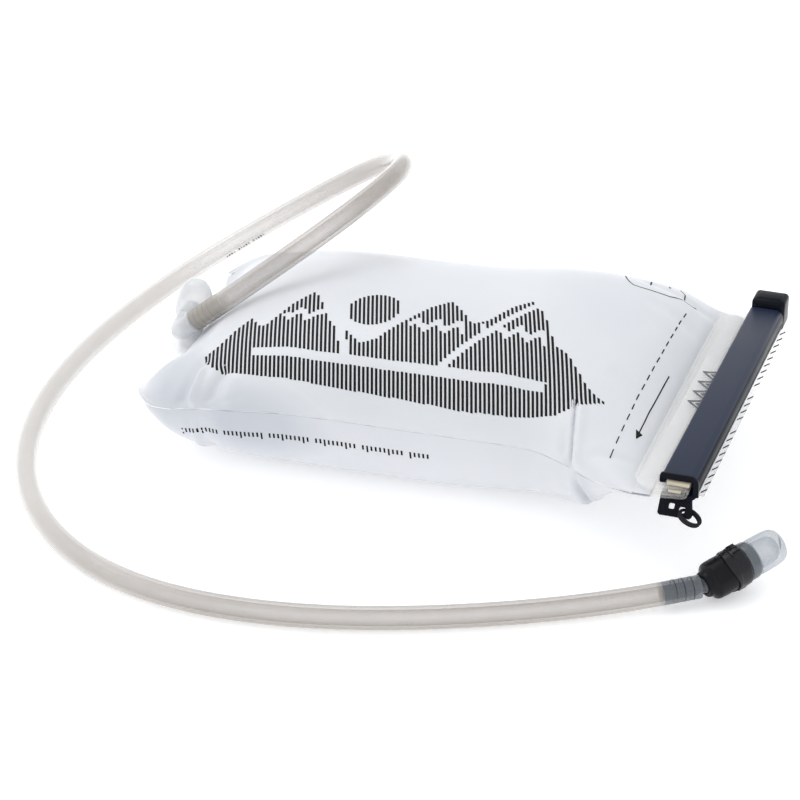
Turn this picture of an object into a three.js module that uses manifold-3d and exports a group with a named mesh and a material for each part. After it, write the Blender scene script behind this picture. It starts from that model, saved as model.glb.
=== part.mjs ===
// Slide-top hydration bladder: film reservoir with a fold-over slide closure,
// a bottom port with a domed elbow, a drinking hose and a twist shut-off bite
// valve.  Millimetres, +Z up.  The full bag lies on its back panel.  +X runs
// along the bag towards the slide closure, +Y along the slide closure towards
// its closed end.
import * as THREE from 'three';
import { mergeVertices } from 'three/addons/utils/BufferGeometryUtils.js';
import { ParametricGeometry } from 'three/addons/geometries/ParametricGeometry.js';
import Module from 'manifold-3d';

const wasm = await Module();
wasm.setup();

// ---------------------------------------------------------------- dimensions
const FILM_T = 0.7;            // film panel thickness
const SEAM_GAP = 0.3;          // clearance between the two film panels
const HOSE_OD = 9.5;           // 3/8 in drinking hose
const HOSE_BORE = 6.8;         // bored ends that take the barbs
const HOSE_BORE_DEPTH = 17;
const PORT_TOP = [-84, -27.3, 58.5];   // crown of the elbow's domed head
const PORT_LEAN = 0.15;                // the port leans towards +X going up
const PORT_H = 40;                     // from the foot of the boot to the crown
const SLIDER_X0 = 144.6, SLIDER_X1 = 159.4;   // slide channel, across
const SLIDER_Y0 = -104.5, SLIDER_Y1 = 53;     // slide channel, along
const SLIDER_Z0 = 34.5, SLIDER_Z1 = 45;       // slide channel, up
const WALL = 1.5;                             // slide channel plate
const LIP_Z = 41.4;                           // lower edge of the slide's hook lip
const VALVE_POINT = [167.1, -121.8, 7.7];     // rear centre of the valve housing
const VALVE_DIR = [0.628, 0.748, 0.215];      // valve axis

// Sections of the full bag, outside of the film:
// x, near edge y, far edge y, top z and bottom z at mid width, seam z near, seam z far
const BAG = [
  [-91, -78, 26, 22, 19, 28, 37],
  [-87, -82.5, 34, 29, 15, 27.5, 38],
  [-82.5, -86.5, 38.5, 36.5, 10, 27.5, 38.5],
  [-76, -90, 41, 44, 6, 28.5, 39],
  [-66, -93, 41, 51.5, 2.5, 31, 39.5],
  [-54, -95, 39.5, 59, 0, 34, 39.5],
  [-38, -95.5, 37, 66.5, -2, 36, 39],
  [-18, -95, 34, 72, -3, 38, 38.5],
  [10, -94, 31.5, 74, -3, 38.5, 38.5],
  [40, -93, 34, 74, -3, 38.5, 38.5],
  [65, -92, 42, 74, -2, 38.5, 38.5],
  [85, -91, 49.5, 71.5, 0, 38, 38.5],
  [102, -96, 55, 65, 2, 37, 40],
  [115, -103, 58, 57, 13, 36, 40.5],
  [126, -107.5, 58.6, 47, 28.5, 36.4, 38],
  [134.5, -110, 57.6, 37.6, 35.9, 36.75, 36.75],
];
const BAG_STATIONS = [-91, -88.8, -85.6, -82, -77.4, -71, -62, -51, -37, -20, 2, 26, 48, 66, 80, 91.5, 101, 109, 116.5, 123.5, 129, 134.5];
const BAG_COLUMNS = 14;        // divisions across the bag
const END_SAG = 12;            // the bottom weld hangs this far below a straight line
const END_INSET = 4;           // and is drawn in this far at mid width

// ------------------------------------------------------------------- helpers
function clean(geometry) {
  const g = geometry.clone();
  for (const name of ['normal', 'uv', 'uv1', 'color']) if (g.getAttribute(name)) g.deleteAttribute(name);
  const m = mergeVertices(g, 2e-4);
  const p = m.getAttribute('position');
  const idx = m.getIndex().array;
  const tri = [];
  for (let i = 0; i < idx.length; i += 3) {
    const [a, b, c] = [idx[i], idx[i + 1], idx[i + 2]];
    if (a !== b && b !== c && c !== a) tri.push(a, b, c);
  }
  let volume = 0;
  for (let i = 0; i < tri.length; i += 3) {
    const [a, b, c] = [tri[i], tri[i + 1], tri[i + 2]];
    const ax = p.getX(a), ay = p.getY(a), az = p.getZ(a);
    const bx = p.getX(b), by = p.getY(b), bz = p.getZ(b);
    const cx = p.getX(c), cy = p.getY(c), cz = p.getZ(c);
    volume += ax * (by * cz - bz * cy) + ay * (bz * cx - bx * cz) + az * (bx * cy - by * cx);
  }
  if (volume < 0) for (let i = 0; i < tri.length; i += 3) [tri[i + 1], tri[i + 2]] = [tri[i + 2], tri[i + 1]];
  const out = new THREE.BufferGeometry();
  out.setAttribute('position', p.clone());
  out.setIndex(tri);
  return out;
}
function toSolid(geometry) {
  const g = clean(geometry);
  return new wasm.Manifold(new wasm.Mesh({
    numProp: 3,
    vertProperties: new Float32Array(g.getAttribute('position').array),
    triVerts: new Uint32Array(g.getIndex().array),
  }));
}
function toGeometry(solid) {
  const m = solid.getMesh();
  const g = new THREE.BufferGeometry();
  g.setAttribute('position', new THREE.BufferAttribute(new Float32Array(m.vertProperties), 3));
  g.setIndex(Array.from(m.triVerts));
  return g;
}
const cut = (a, ...tools) => toGeometry(tools.reduce((s, t) => s.subtract(toSolid(t)), toSolid(a)));
const join = (a, ...more) => toGeometry(more.reduce((s, t) => s.add(toSolid(t)), toSolid(a)));

// Turned piece about +Z: profile is [radius, z] pairs from axis to axis.
function turned(profile, segments = 24) {
  const g = new THREE.LatheGeometry(profile.map(([r, z]) => new THREE.Vector2(r, z)), segments);
  g.rotateX(Math.PI / 2);
  return g;
}
// A turned ring: the profile closes on itself.
const ring = (profile, segments = 24) => turned([...profile, profile[0]], segments);
// Frame whose +Z runs along dir from the point at.
function frameAt(at, dir, roll = 0) {
  const z = new THREE.Vector3(...dir).normalize();
  let x = new THREE.Vector3(0, 0, 1).cross(z);
  if (x.length() < 1e-3) x = new THREE.Vector3(1, 0, 0);
  if (Math.abs(z.z) > 0.8) x = new THREE.Vector3(1, 0, 0).addScaledVector(z, -z.x);
  x.normalize();
  const y = new THREE.Vector3().crossVectors(z, x);
  const m = new THREE.Matrix4().makeBasis(x, y, z);
  m.multiply(new THREE.Matrix4().makeRotationZ(roll));
  m.setPosition(new THREE.Vector3(...at));
  return m;
}
const placed = (g, m) => g.clone().applyMatrix4(m);
// Round rod of radius r along a path.
function rod(points, r, sides, steps) {
  const path = new THREE.CatmullRomCurve3(points.map((p) => new THREE.Vector3(...p)), false, 'centripetal');
  const shape = new THREE.Shape();
  for (let i = 0; i < sides; i++) {
    const a = (2 * Math.PI * i) / sides;
    if (i) shape.lineTo(r * Math.cos(a), r * Math.sin(a)); else shape.moveTo(r, 0);
  }
  shape.closePath();
  return new THREE.ExtrudeGeometry(shape, { steps, bevelEnabled: false, extrudePath: path, curveSegments: 1 });
}
function prism(points, y0, y1) {   // outline in X-Z, run along Y
  const shape = new THREE.Shape(points.map(([x, z]) => new THREE.Vector2(x, z)));
  const g = new THREE.ExtrudeGeometry(shape, { depth: y1 - y0, bevelEnabled: false, curveSegments: 4 });
  g.rotateX(Math.PI / 2);
  g.translate(0, y1, 0);
  return g;
}

const root = new THREE.Group();
const bodyGroup = new THREE.Group();
root.add(bodyGroup);
function add(name, geometry, color, roughness, metalness = 0) {
  const mesh = new THREE.Mesh(clean(geometry), new THREE.MeshStandardMaterial({ color, roughness, metalness }));
  mesh.name = name;
  bodyGroup.add(mesh);
  return mesh;
}

// ---------------------------------------------------------------- film panels
function monotone(x, col) {
  let i = 0;
  while (i < BAG.length - 2 && x > BAG[i + 1][0]) i++;
  const X = (j) => BAG[j][0], Y = (j) => BAG[j][col];
  const slope = (j) => {
    if (j <= 0) return (Y(1) - Y(0)) / (X(1) - X(0));
    const n = BAG.length - 1;
    if (j >= n) return (Y(n) - Y(n - 1)) / (X(n) - X(n - 1));
    const a = (Y(j) - Y(j - 1)) / (X(j) - X(j - 1)), b = (Y(j + 1) - Y(j)) / (X(j + 1) - X(j));
    return a * b <= 0 ? 0 : (2 * a * b) / (a + b);
  };
  const h = X(i + 1) - X(i), t = (x - X(i)) / h, t2 = t * t, t3 = t2 * t;
  return Y(i) * (2 * t3 - 3 * t2 + 1) + slope(i) * h * (t3 - 2 * t2 + t) + Y(i + 1) * (-2 * t3 + 3 * t2) + slope(i + 1) * h * (t3 - t2);
}
const columnU = (j) => -Math.cos((Math.PI * j) / BAG_COLUMNS);
// Inner face of the film on the bag: u from -1 (near seam) to 1 (far seam).
function bagPoint(x, u, top) {
  const [yN, yF, zT, zB, zN, zF] = [1, 2, 3, 4, 5, 6].map((c) => monotone(x, c));
  const w = Math.pow(Math.min(1, Math.max(0, (-60 - x) / 31)), 1.5);
  const seam = (s) => zN + (zF - zN) * (s + 1) / 2 - END_SAG * w * (1 - s * s);
  const m = top ? 2.15 : 2.5;
  const g = Math.abs(u) < 1 ? Math.pow(1 - Math.pow(Math.abs(u), m), 1 / m) : 0;
  const y = (yN + yF) / 2 + ((yF - yN) / 2 - FILM_T) * u;
  const px = x + END_INSET * w * (1 - u * u);
  const h = SEAM_GAP / 2;
  if (top) {
    const rise = Math.max(0, zT - FILM_T - h - seam(0));
    return [px, y, seam(u) + h + rise * g];
  }
  const drop = Math.max(0, seam(0) - h - zB - FILM_T);
  return [px, y, Math.max(FILM_T, seam(u) - h - drop * g)];
}
// The loose flap lifts towards its free edge, more at the far end.
const FLAP_Y1 = 57;
function flapLift(x, y) {
  const t = Math.min(1, Math.max(0, (y + 110) / 125));
  return (0.7 + 3.0 * t * t * (3 - 2 * t)) * Math.pow(Math.min(1, Math.max(0, (144.2 - x) / 10.8)), 1.5);
}
// Mouth of the bag: both layers run flat into the slide, turn back over the
// inner rail and end in a loose flap.  x, z, near y, far y
const MOUTH_Y0 = -110, MOUTH_Y1 = 52.5, MOUTH_Z = 38.7;
function mouthPath(front) {
  const zc = MOUTH_Z, xc = 153.6, r = front ? 1.45 : 1.75;
  const rows = [];
  const z0 = zc - r;
  rows.push([138.5, z0, MOUTH_Y0, 57.0]);
  rows.push([143.6, z0, MOUTH_Y0, MOUTH_Y1 + 0.3]);
  rows.push([148.5, z0, MOUTH_Y0, MOUTH_Y1]);
  rows.push([xc, z0, MOUTH_Y0, MOUTH_Y1]);
  for (let i = 1; i <= 5; i++) {
    const a = (Math.PI * i) / 5;
    rows.push([xc + r * Math.sin(a), zc - r * Math.cos(a), MOUTH_Y0, MOUTH_Y1]);
  }
  const z1 = zc + r;
  rows.push([147, z1, MOUTH_Y0, MOUTH_Y1]);
  const end = front ? 134.6 : 133.4;
  rows.push([144.2, z1, MOUTH_Y0, MOUTH_Y1 + 0.3], [142.4, z1, MOUTH_Y0, FLAP_Y1]);
  for (const [dx, inset] of [[6, 0.2], [3, 1.6], [1, 4], [0, 7]]) rows.push([end + dx, z1, MOUTH_Y0 + 0.8 + inset, FLAP_Y1 - inset]);
  return rows;
}
function filmPanel(front) {
  const rows = BAG_STATIONS.map((x) => Array.from({ length: BAG_COLUMNS + 1 }, (_, j) => bagPoint(x, columnU(j), front)));
  for (const [x, z, y0, y1] of mouthPath(front)) {
    rows.push(Array.from({ length: BAG_COLUMNS + 1 }, (_, j) => {
      const y = (y0 + y1) / 2 + ((y1 - y0) / 2) * columnU(j);
      return [x, y, z > MOUTH_Z + 1 ? z + flapLift(x, y) : z];
    }));
  }
  const n = rows.length - 1, m = BAG_COLUMNS;
  const V = (a) => new THREE.Vector3(...a);
  const outer = rows.map((row, i) => row.map((p, j) => {
    const ds = V(rows[Math.min(n, i + 1)][j]).sub(V(rows[Math.max(0, i - 1)][j]));
    const du = V(row[Math.min(m, j + 1)]).sub(V(row[Math.max(0, j - 1)]));
    const nrm = ds.cross(du).normalize();
    if (!front) nrm.negate();
    const q = V(p).addScaledVector(nrm, FILM_T);
    return [q.x, q.y, Math.max(0, q.z)];
  }));
  // closed loop around the strip: inner face one way, outer face back
  const mid = (i, j) => V(rows[i][j]).add(V(outer[i][j])).multiplyScalar(0.5).toArray();
  const loop = [];
  const ringOf = (i, flat) => {
    const a = [];
    for (let j = 0; j <= m; j++) a.push(flat ? mid(i, j) : rows[i][j]);
    for (let j = m; j >= 0; j--) a.push(flat ? mid(i, j) : outer[i][j]);
    a.push(a[0]);
    return a;
  };
  loop.push(ringOf(0, true));
  for (let i = 0; i <= n; i++) loop.push(ringOf(i, false));
  loop.push(ringOf(n, true));
  const slices = loop[0].length - 1, stacks = loop.length - 1;
  return new ParametricGeometry((u, v, target) => {
    const p = loop[Math.round(v * stacks)][Math.round(u * slices)];
    target.set(p[0], p[1], p[2]);
  }, slices, stacks);
}

// ----------------------------------------------------------------------- port
const leanLen = Math.hypot(PORT_LEAN, 1);
const PORT_DIR = [PORT_LEAN / leanLen, 0, 1 / leanLen];
const PORT_FOOT = PORT_TOP.map((c, i) => c - PORT_DIR[i] * PORT_H);
const portFrame = frameAt(PORT_FOOT, PORT_DIR);
// Boot: soft bulb that joins the film to the elbow; open right through.
const bootOutside = [[6.8, 0], [6.8, 1.5], [7.8, 4.5], [8.7, 7.5], [9.0, 10.5], [8.5, 13.5], [7.4, 15.8], [6.4, 17.2], [6.3, 17.8]];
const boot = ring([[5.1, 0], ...bootOutside, [5.1, 17.8]], 20);
const bootClear = turned([[0, -1], [7.15, -1], ...bootOutside.map(([r, z]) => [r + 0.35, z]), [6.95, 24], [0, 24]], 20);
// Elbow: spigot, shoulder, domed head, side arm and barb; water way right through.
const HOSE_START = [-79.9, -40.7, 46.0];
const HOSE_START_DIR = new THREE.Vector3(0.775, 0.05, 0.63).normalize();
const along = (p, d, s) => [p[0] + d.x * s, p[1] + d.y * s, p[2] + d.z * s];
const headProfile = [[0, 3], [4.1, 3], [4.6, 3.6], [4.6, 7.2], [3.7, 7.2], [3.7, 9.2], [4.6, 9.2], [4.6, 18.1],
  [5.9, 18.1], [6.1, 19.6], [6.9, 21.2], [7.7, 22.3], [8.2, 23.6], [8.25, 26], [8.0, 29.5], [7.3, 33], [6.0, 36.3], [4.0, 38.9], [1.8, 39.85], [0, 40]];
const head = placed(turned(headProfile, 20), portFrame);
const axisAt = (s) => PORT_FOOT.map((c, i) => c + PORT_DIR[i] * s);
const armRoot = axisAt(26.0);
const barbTail = along(HOSE_START, HOSE_START_DIR, -9);
const arm = rod([armRoot, [(armRoot[0] + barbTail[0]) / 2 - 0.6, (armRoot[1] + barbTail[1]) / 2 - 1.5, (armRoot[2] + barbTail[2]) / 2 - 0.4],
  barbTail, along(HOSE_START, HOSE_START_DIR, -5), along(HOSE_START, HOSE_START_DIR, -0.4)], 4.3, 12, 8);
const barbFrame = frameAt(along(HOSE_START, HOSE_START_DIR, -1.9), HOSE_START_DIR.toArray());
const barbProfile = [[0, 0], [5.3, 0], [5.3, 1.5], [2.5, 1.5], [2.5, 5.5], [3.05, 5.6], [2.5, 9], [2.5, 9.6], [3.05, 9.7], [2.5, 13.2], [2.5, 13.7], [3.05, 13.8], [2.3, 17.3], [0, 17.3]];
const barb = placed(turned(barbProfile, 12), barbFrame);
const waterUp = placed(turned([[0, 2], [2.6, 2], [2.6, 26], [0, 26]], 8), portFrame);
const waterOut = rod([axisAt(25.0), [(armRoot[0] + barbTail[0]) / 2 - 0.6, (armRoot[1] + barbTail[1]) / 2 - 1.5, (armRoot[2] + barbTail[2]) / 2 - 0.4],
  barbTail, along(HOSE_START, HOSE_START_DIR, -5), along(HOSE_START, HOSE_START_DIR, 20)], 1.6, 8, 10);

// ----------------------------------------------------------------------- hose
// centreline from the elbow barb to the valve housing
const HOSE_POINTS = [
  [-79.90, -40.70, 46.00],
  [-62.61, -39.46, 60.10],
  [-45.48, -36.65, 74.16],
  [-29.14, -28.75, 86.96],
  [-17.31, -11.98, 95.07],
  [-12.20, 9.54, 97.26],
  [-12.20, 31.75, 95.35],
  [-16.81, 52.98, 90.36],
  [-25.59, 72.11, 83.01],
  [-37.98, 87.95, 73.37],
  [-53.16, 99.45, 61.78],
  [-70.21, 106.24, 49.11],
  [-88.34, 108.02, 36.25],
  [-106.56, 104.12, 24.05],
  [-123.14, 93.36, 13.93],
  [-135.08, 75.69, 7.80],
  [-141.71, 54.53, 5.47],
  [-145.37, 32.49, 4.93],
  [-147.56, 10.25, 4.85],
  [-148.40, -12.08, 4.85],
  [-147.73, -34.41, 4.85],
  [-145.42, -56.64, 4.85],
  [-141.15, -78.57, 4.85],
  [-134.60, -99.93, 4.85],
  [-125.58, -120.36, 4.85],
  [-113.92, -139.41, 4.85],
  [-99.55, -156.50, 4.85],
  [-82.62, -171.05, 4.85],
  [-63.36, -182.31, 4.85],
  [-42.23, -189.50, 4.85],
  [-20.12, -192.56, 4.85],
  [2.21, -192.10, 4.85],
  [24.30, -188.83, 4.85],
  [45.94, -183.26, 4.85],
  [67.01, -175.81, 4.85],
  [87.54, -166.98, 4.86],
  [107.60, -157.14, 4.96],
  [127.22, -146.43, 5.35],
  [146.47, -135.12, 6.23],
  [166.02, -122.51, 7.60],
];
const V3 = (a) => new THREE.Vector3(...a);
const hoseIn = V3(HOSE_POINTS[1]).sub(V3(HOSE_POINTS[0])).normalize();
const last = HOSE_POINTS.length - 1;
const hoseOut = V3(HOSE_POINTS[last]).sub(V3(HOSE_POINTS[last - 1])).normalize();
const hoseBody = rod(HOSE_POINTS, HOSE_OD / 2, 10, 72);
const boreTool = (depth) => turned([[0, -1], [HOSE_BORE / 2, -1], [HOSE_BORE / 2, depth], [0, depth]], 12);
const hose = cut(hoseBody,
  placed(boreTool(HOSE_BORE_DEPTH), frameAt(HOSE_POINTS[0], hoseIn.toArray())),
  placed(boreTool(HOSE_BORE_DEPTH), frameAt(HOSE_POINTS[last], hoseOut.clone().negate().toArray())));

// ----------------------------------------------------------------- bite valve
const valveFrame = frameAt(VALVE_POINT, VALVE_DIR);
const onValve = (g) => placed(g, valveFrame);
const hoseEnd = HOSE_POINTS[last];
// Stem: barbed tail in the hose, bent neck, flange inside the housing.
const tailFrame = frameAt(along(hoseEnd, hoseOut, 0.6), hoseOut.clone().negate().toArray());
const tail = placed(turned([[0, -1.2], [2.6, -1.2], [2.6, 4.6], [3.05, 4.7], [2.5, 8.2], [2.5, 8.8], [3.05, 8.9], [2.5, 12.2], [2.5, 12.8], [3.0, 12.9], [2.2, 16.2], [0, 16.2]], 12), tailFrame);
const neck = onValve(turned([[0, -0.6], [2.6, -0.6], [3.3, 0.3], [3.3, 4.2], [5.9, 4.4], [5.9, 5.4], [0, 5.4]], 16));
const stemBore = join(onValve(turned([[0, 1.2], [1.5, 1.2], [2.4, 4.8], [2.4, 7], [0, 7]], 8)), rod([along(hoseEnd, hoseOut, -20), along(hoseEnd, hoseOut, -8), hoseEnd, along(VALVE_POINT, V3(VALVE_DIR), 2.6)], 1.5, 8, 5));
const housing = onValve(ring([[3.7, 0.6], [5.1, 0.6], [5.6, 2.2], [7.3, 3.6], [7.8, 4.8], [7.9, 6.5], [7.9, 12.6], [7.5, 13.2], [6.3, 13.2], [6.3, 4.2], [3.7, 3.9]], 24));
const core = onValve(turned([[0, 6.0], [3.3, 6.0], [3.6, 6.8], [3.6, 8.2], [2.9, 8.2], [2.9, 9.9], [3.6, 9.9], [3.6, 14.6], [2.9, 14.6], [2.9, 16.3], [3.6, 16.3], [3.6, 18.4], [2.4, 20.6], [2.4, 22.0], [0, 22.0]], 14));
const coreOring = (s) => onValve(new THREE.TorusGeometry(3.85, 0.6, 6, 16).translate(0, 0, s));
// Twist ring: sleeve into the housing, wavy cam rim and two thumb lobes.
const ringBody = onValve(ring([[4.8, 6.6], [6.0, 6.6], [6.0, 13.5], [8.2, 13.5], [8.4, 14.2], [8.4, 18.6], [8.0, 19.2], [4.8, 19.2]], 24));
const lobe = (a) => {
  const s = new THREE.Shape();
  s.absarc(0, 0, 9.75, a - 0.42, a + 0.42, false);
  s.absarc(0, 0, 7.6, a + 0.3, a - 0.3, true);
  const g = new THREE.ExtrudeGeometry(s, { depth: 4.0, bevelEnabled: false, curveSegments: 3 });
  return onValve(g.translate(0, 0, 14.4));
};
const shutoffRing = join(ringBody, lobe(Math.PI / 2), lobe(-Math.PI / 2));
const collar = onValve(ring([[4.8, 19.5], [7.6, 19.5], [7.8, 20.1], [7.8, 23.4], [7.4, 24.1], [4.8, 24.1]], 24));
const tipBody = onValve(turned([[0, 24.4], [7.1, 24.4], [7.5, 25.2], [7.6, 28], [7.5, 32], [7.3, 35], [6.6, 36.9], [5.2, 37.9], [2.5, 38.4], [0, 38.5]], 24));
const tipHollow = onValve(turned([[0, 23], [4.7, 23], [5.7, 26], [5.8, 32], [4.6, 34.6], [2.2, 35.6], [0, 35.7]], 12));
const slit = onValve(new THREE.BoxGeometry(0.6, 7.0, 8).translate(0, 0, 37.5));

// -------------------------------------------------------------- slide closure
function roundedRight(x0, x1, z0, z1, r, n) {   // outline with round corners on the +X side
  const p = [[x0, z0]];
  for (let i = 0; i <= n; i++) { const a = -Math.PI / 2 + (Math.PI / 2) * (i / n); p.push([x1 - r + r * Math.cos(a), z0 + r + r * Math.sin(a)]); }
  for (let i = 0; i <= n; i++) { const a = (Math.PI / 2) * (i / n); p.push([x1 - r + r * Math.cos(a), z1 - r + r * Math.sin(a)]); }
  p.push([x0, z1]);
  return p;
}
const channelOuter = (() => {
  const p = roundedRight(SLIDER_X0, SLIDER_X1, SLIDER_Z0, SLIDER_Z1, 3.6, 5);
  p.pop();
  p.push([SLIDER_X0 + 1.2, SLIDER_Z1], [SLIDER_X0, SLIDER_Z1 - 1.2]);   // eased lip edge
  return p;
})();
const channelInner = (() => {
  const x1 = SLIDER_X1 - 2.0, z0 = SLIDER_Z0 + WALL, z1 = SLIDER_Z1 - 1.9, r = 2.0;
  const p = [[SLIDER_X0 - 1, z0]];
  for (let i = 0; i <= 3; i++) { const a = -Math.PI / 2 + (Math.PI / 2) * (i / 3); p.push([x1 - r * 0.45 + r * 0.45 * Math.cos(a), z0 + r * 0.45 + r * 0.45 * Math.sin(a)]); }
  for (let i = 0; i <= 3; i++) { const a = (Math.PI / 2) * (i / 3); p.push([x1 - r * 0.45 + r * 0.45 * Math.cos(a), z1 - r * 0.45 + r * 0.45 * Math.sin(a)]); }
  p.push([SLIDER_X0 + 2.0, z1], [SLIDER_X0 + 2.0, LIP_Z], [SLIDER_X0 - 1, LIP_Z]);
  return p;
})();
// Tongue: the bottom plate runs on past the open end and slopes down, with a
// hang hole and a tether eye.
const TONGUE_DROP = [-5.6, -6.6];     // run in Y and fall in Z
const EYE = [SLIDER_X0 + 9.6, 3.2];   // tether eye: x, and distance from the tongue's tip
const tongue = (() => {
  const len = Math.hypot(...TONGUE_DROP), a = Math.atan2(-TONGUE_DROP[1], -TONGUE_DROP[0]);
  const s = new THREE.Shape();
  s.moveTo(SLIDER_X0, 0); s.lineTo(SLIDER_X1 - 2.2, 0); s.lineTo(SLIDER_X1 - 0.8, len - 2);
  s.lineTo(SLIDER_X1 - 1.6, len); s.lineTo(SLIDER_X0 + 0.8, len); s.lineTo(SLIDER_X0, len - 0.8); s.closePath();
  const hole = (cx, cy, h) => { const q = new THREE.Path(); q.moveTo(cx - h, cy - h); q.lineTo(cx - h, cy + h); q.lineTo(cx + h, cy + h); q.lineTo(cx + h, cy - h); q.closePath(); s.holes.push(q); };
  hole(SLIDER_X0 + 5.2, len - 4.2, 1.15);
  hole(EYE[0], len - EYE[1], 1.25);
  const g = new THREE.ExtrudeGeometry(s, { depth: WALL, bevelEnabled: false, curveSegments: 4 });
  // outline y -> down the slope, thickness -> plate normal
  const slope = new THREE.Matrix4().makeBasis(new THREE.Vector3(1, 0, 0), new THREE.Vector3(0, -Math.cos(a), -Math.sin(a)), new THREE.Vector3(0, Math.sin(a), -Math.cos(a)));
  slope.setPosition(0, SLIDER_Y0 + 0.5, SLIDER_Z0 + WALL);
  return placed(g, slope);
})();
// Rim: a thin raised band round the open end, over the lip, the top and the back.
const rimOutline = (() => {
  const x1 = SLIDER_X1 + 0.5, z1 = SLIDER_Z1 + 0.7, r = 3.8, n = 5;
  const p = [[SLIDER_X0 - 0.6, LIP_Z], [SLIDER_X0 + 1.9, LIP_Z], [SLIDER_X0 + 1.9, SLIDER_Z1 - 1.8], [SLIDER_X1 - 1.9, SLIDER_Z1 - 1.8], [SLIDER_X1 - 1.9, SLIDER_Z0 + 3.6], [x1, SLIDER_Z0 + 3.6]];
  for (let i = 0; i <= n; i++) { const a = (Math.PI / 2) * (i / n); p.push([x1 - r + r * Math.cos(a), z1 - r + r * Math.sin(a)]); }
  p.push([SLIDER_X0 + 0.6, z1], [SLIDER_X0 - 0.6, z1 - 1.2]);
  return p;
})();
const channel = join(cut(prism(channelOuter, SLIDER_Y0, SLIDER_Y1), prism(channelInner, SLIDER_Y0 - 1, SLIDER_Y1 + 1)), tongue, prism(rimOutline, SLIDER_Y0 - 0.7, SLIDER_Y0 + 0.8));
// End cap: closed end of the slide, stands proud all round and is the pull grip.
const capShape = new THREE.Shape();
{
  const x0 = SLIDER_X0 + 0.7, x1 = SLIDER_X1 - 0.7, z0 = 35.2, z1 = 47.4, r = 2.4, n = 3;
  for (const [cx, cz, a0] of [[x1 - r, z1 - r, 0], [x0 + r, z1 - r, Math.PI / 2], [x0 + r, z0 + r, Math.PI], [x1 - r, z0 + r, 1.5 * Math.PI]]) {
    for (let i = 0; i <= n; i++) { const a = a0 + (Math.PI / 2) * (i / n); const q = [cx + r * Math.cos(a), cz + r * Math.sin(a)]; if (capShape.curves.length || capShape.currentPoint.length()) capShape.lineTo(...q); else capShape.moveTo(...q); }
  }
  capShape.closePath();
}
const cap = new THREE.ExtrudeGeometry(capShape, { depth: 11.3, bevelEnabled: true, bevelThickness: 0.7, bevelSize: 0.7, bevelSegments: 2, curveSegments: 4 });
cap.rotateX(Math.PI / 2);
cap.translate(0, 65.3, 0);
// Tether loop through the tongue's eye: a flattened ring of cord.
const tetherLoop = (() => {
  const g = new THREE.TorusGeometry(1, 0.7, 6, 18);
  const p = g.getAttribute('position');
  for (let i = 0; i < p.count; i++) {   // stretch the ring, keep the cord round
    const x = p.getX(i), y = p.getY(i), a = Math.atan2(y, x), r = Math.hypot(x, y) - 1;
    p.setXYZ(i, (6.4 + r) * Math.cos(a), (2.1 + r) * Math.sin(a), p.getZ(i));
  }
  return g;
})();

// ------------------------------------------------------------------- assembly
const frontPanel = cut(filmPanel(true), placed(bootClear, portFrame));
const backPanel = cut(filmPanel(false), placed(bootClear, portFrame));
add('front_film_panel', frontPanel, '#dfe2e6', 0.35);
add('back_film_panel', backPanel, '#d9dce1', 0.35);
const rail = (x0, x1, z0, z1) => new THREE.BoxGeometry(x1 - x0, 156.0, z1 - z0).translate((x0 + x1) / 2, -28.5, (z0 + z1) / 2);
add('inner_rail', rail(148.0, 153.0, MOUTH_Z - 0.65, MOUTH_Z + 0.65), '#c9bfa6', 0.5);
add('upper_rail', rail(147.3, 156.4, 41.3, 42.8), '#c9bfa6', 0.5);
add('header_strip', prism([[136.3, 35.1], [140.3, 35.1], [143.3, 33.5], [160.4, 33.1], [160.4, 33.7], [143.6, 34.1], [140.6, 35.6], [136.3, 35.6]], -97, 60), '#e6e7ea', 0.5);
add('slider_channel', channel, '#23252f', 0.4);
add('slider_end_cap', cap, '#1d1e24', 0.42);
{
  // the loop's long way hangs out of the eye, down and away from the slide
  const len = Math.hypot(...TONGUE_DROP), cy = -TONGUE_DROP[0] / len, cz = -TONGUE_DROP[1] / len;
  const eye = [EYE[0], SLIDER_Y0 + 0.5 - (len - EYE[1]) * cy, SLIDER_Z0 + WALL - (len - EYE[1]) * cz];
  const dir = new THREE.Vector3(0.62, -0.62, -0.48).normalize();
  const side = new THREE.Vector3(0, cz, -cy);                // through the eye
  side.addScaledVector(dir, -side.dot(dir)).normalize();
  const m = new THREE.Matrix4().makeBasis(dir, side, new THREE.Vector3().crossVectors(dir, side));
  m.setPosition(V3(eye).addScaledVector(dir, 5.6).addScaledVector(new THREE.Vector3(0, cz, -cy), WALL / 2));
  add('tether_loop', placed(tetherLoop, m), '#141416', 0.7);
}
add('port_boot', placed(boot, portFrame), '#e3e5e8', 0.3);
add('port_oring', placed(new THREE.TorusGeometry(4.35, 0.36, 6, 18).translate(0, 0, 8.2), portFrame), '#2b2b2b', 0.6);
add('port_elbow', cut(join(head, arm, barb), waterUp, waterOut), '#eceef0', 0.15);
add('drinking_hose', hose, '#d8d2c6', 0.25);
add('valve_stem', cut(join(neck, tail), stemBore), '#8d9093', 0.25);
add('valve_housing', housing, '#1a1a1d', 0.4);
add('shutoff_core', core, '#5c5f63', 0.4);
add('core_oring_rear', coreOring(9.05), '#222222', 0.6);
add('core_oring_front', coreOring(15.45), '#222222', 0.6);
add('shutoff_ring', shutoffRing, '#17181b', 0.45);
add('valve_collar', collar, '#85888c', 0.3);
add('bite_tip', cut(tipBody, tipHollow, slit), '#dfe5ea', 0.2);

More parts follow.
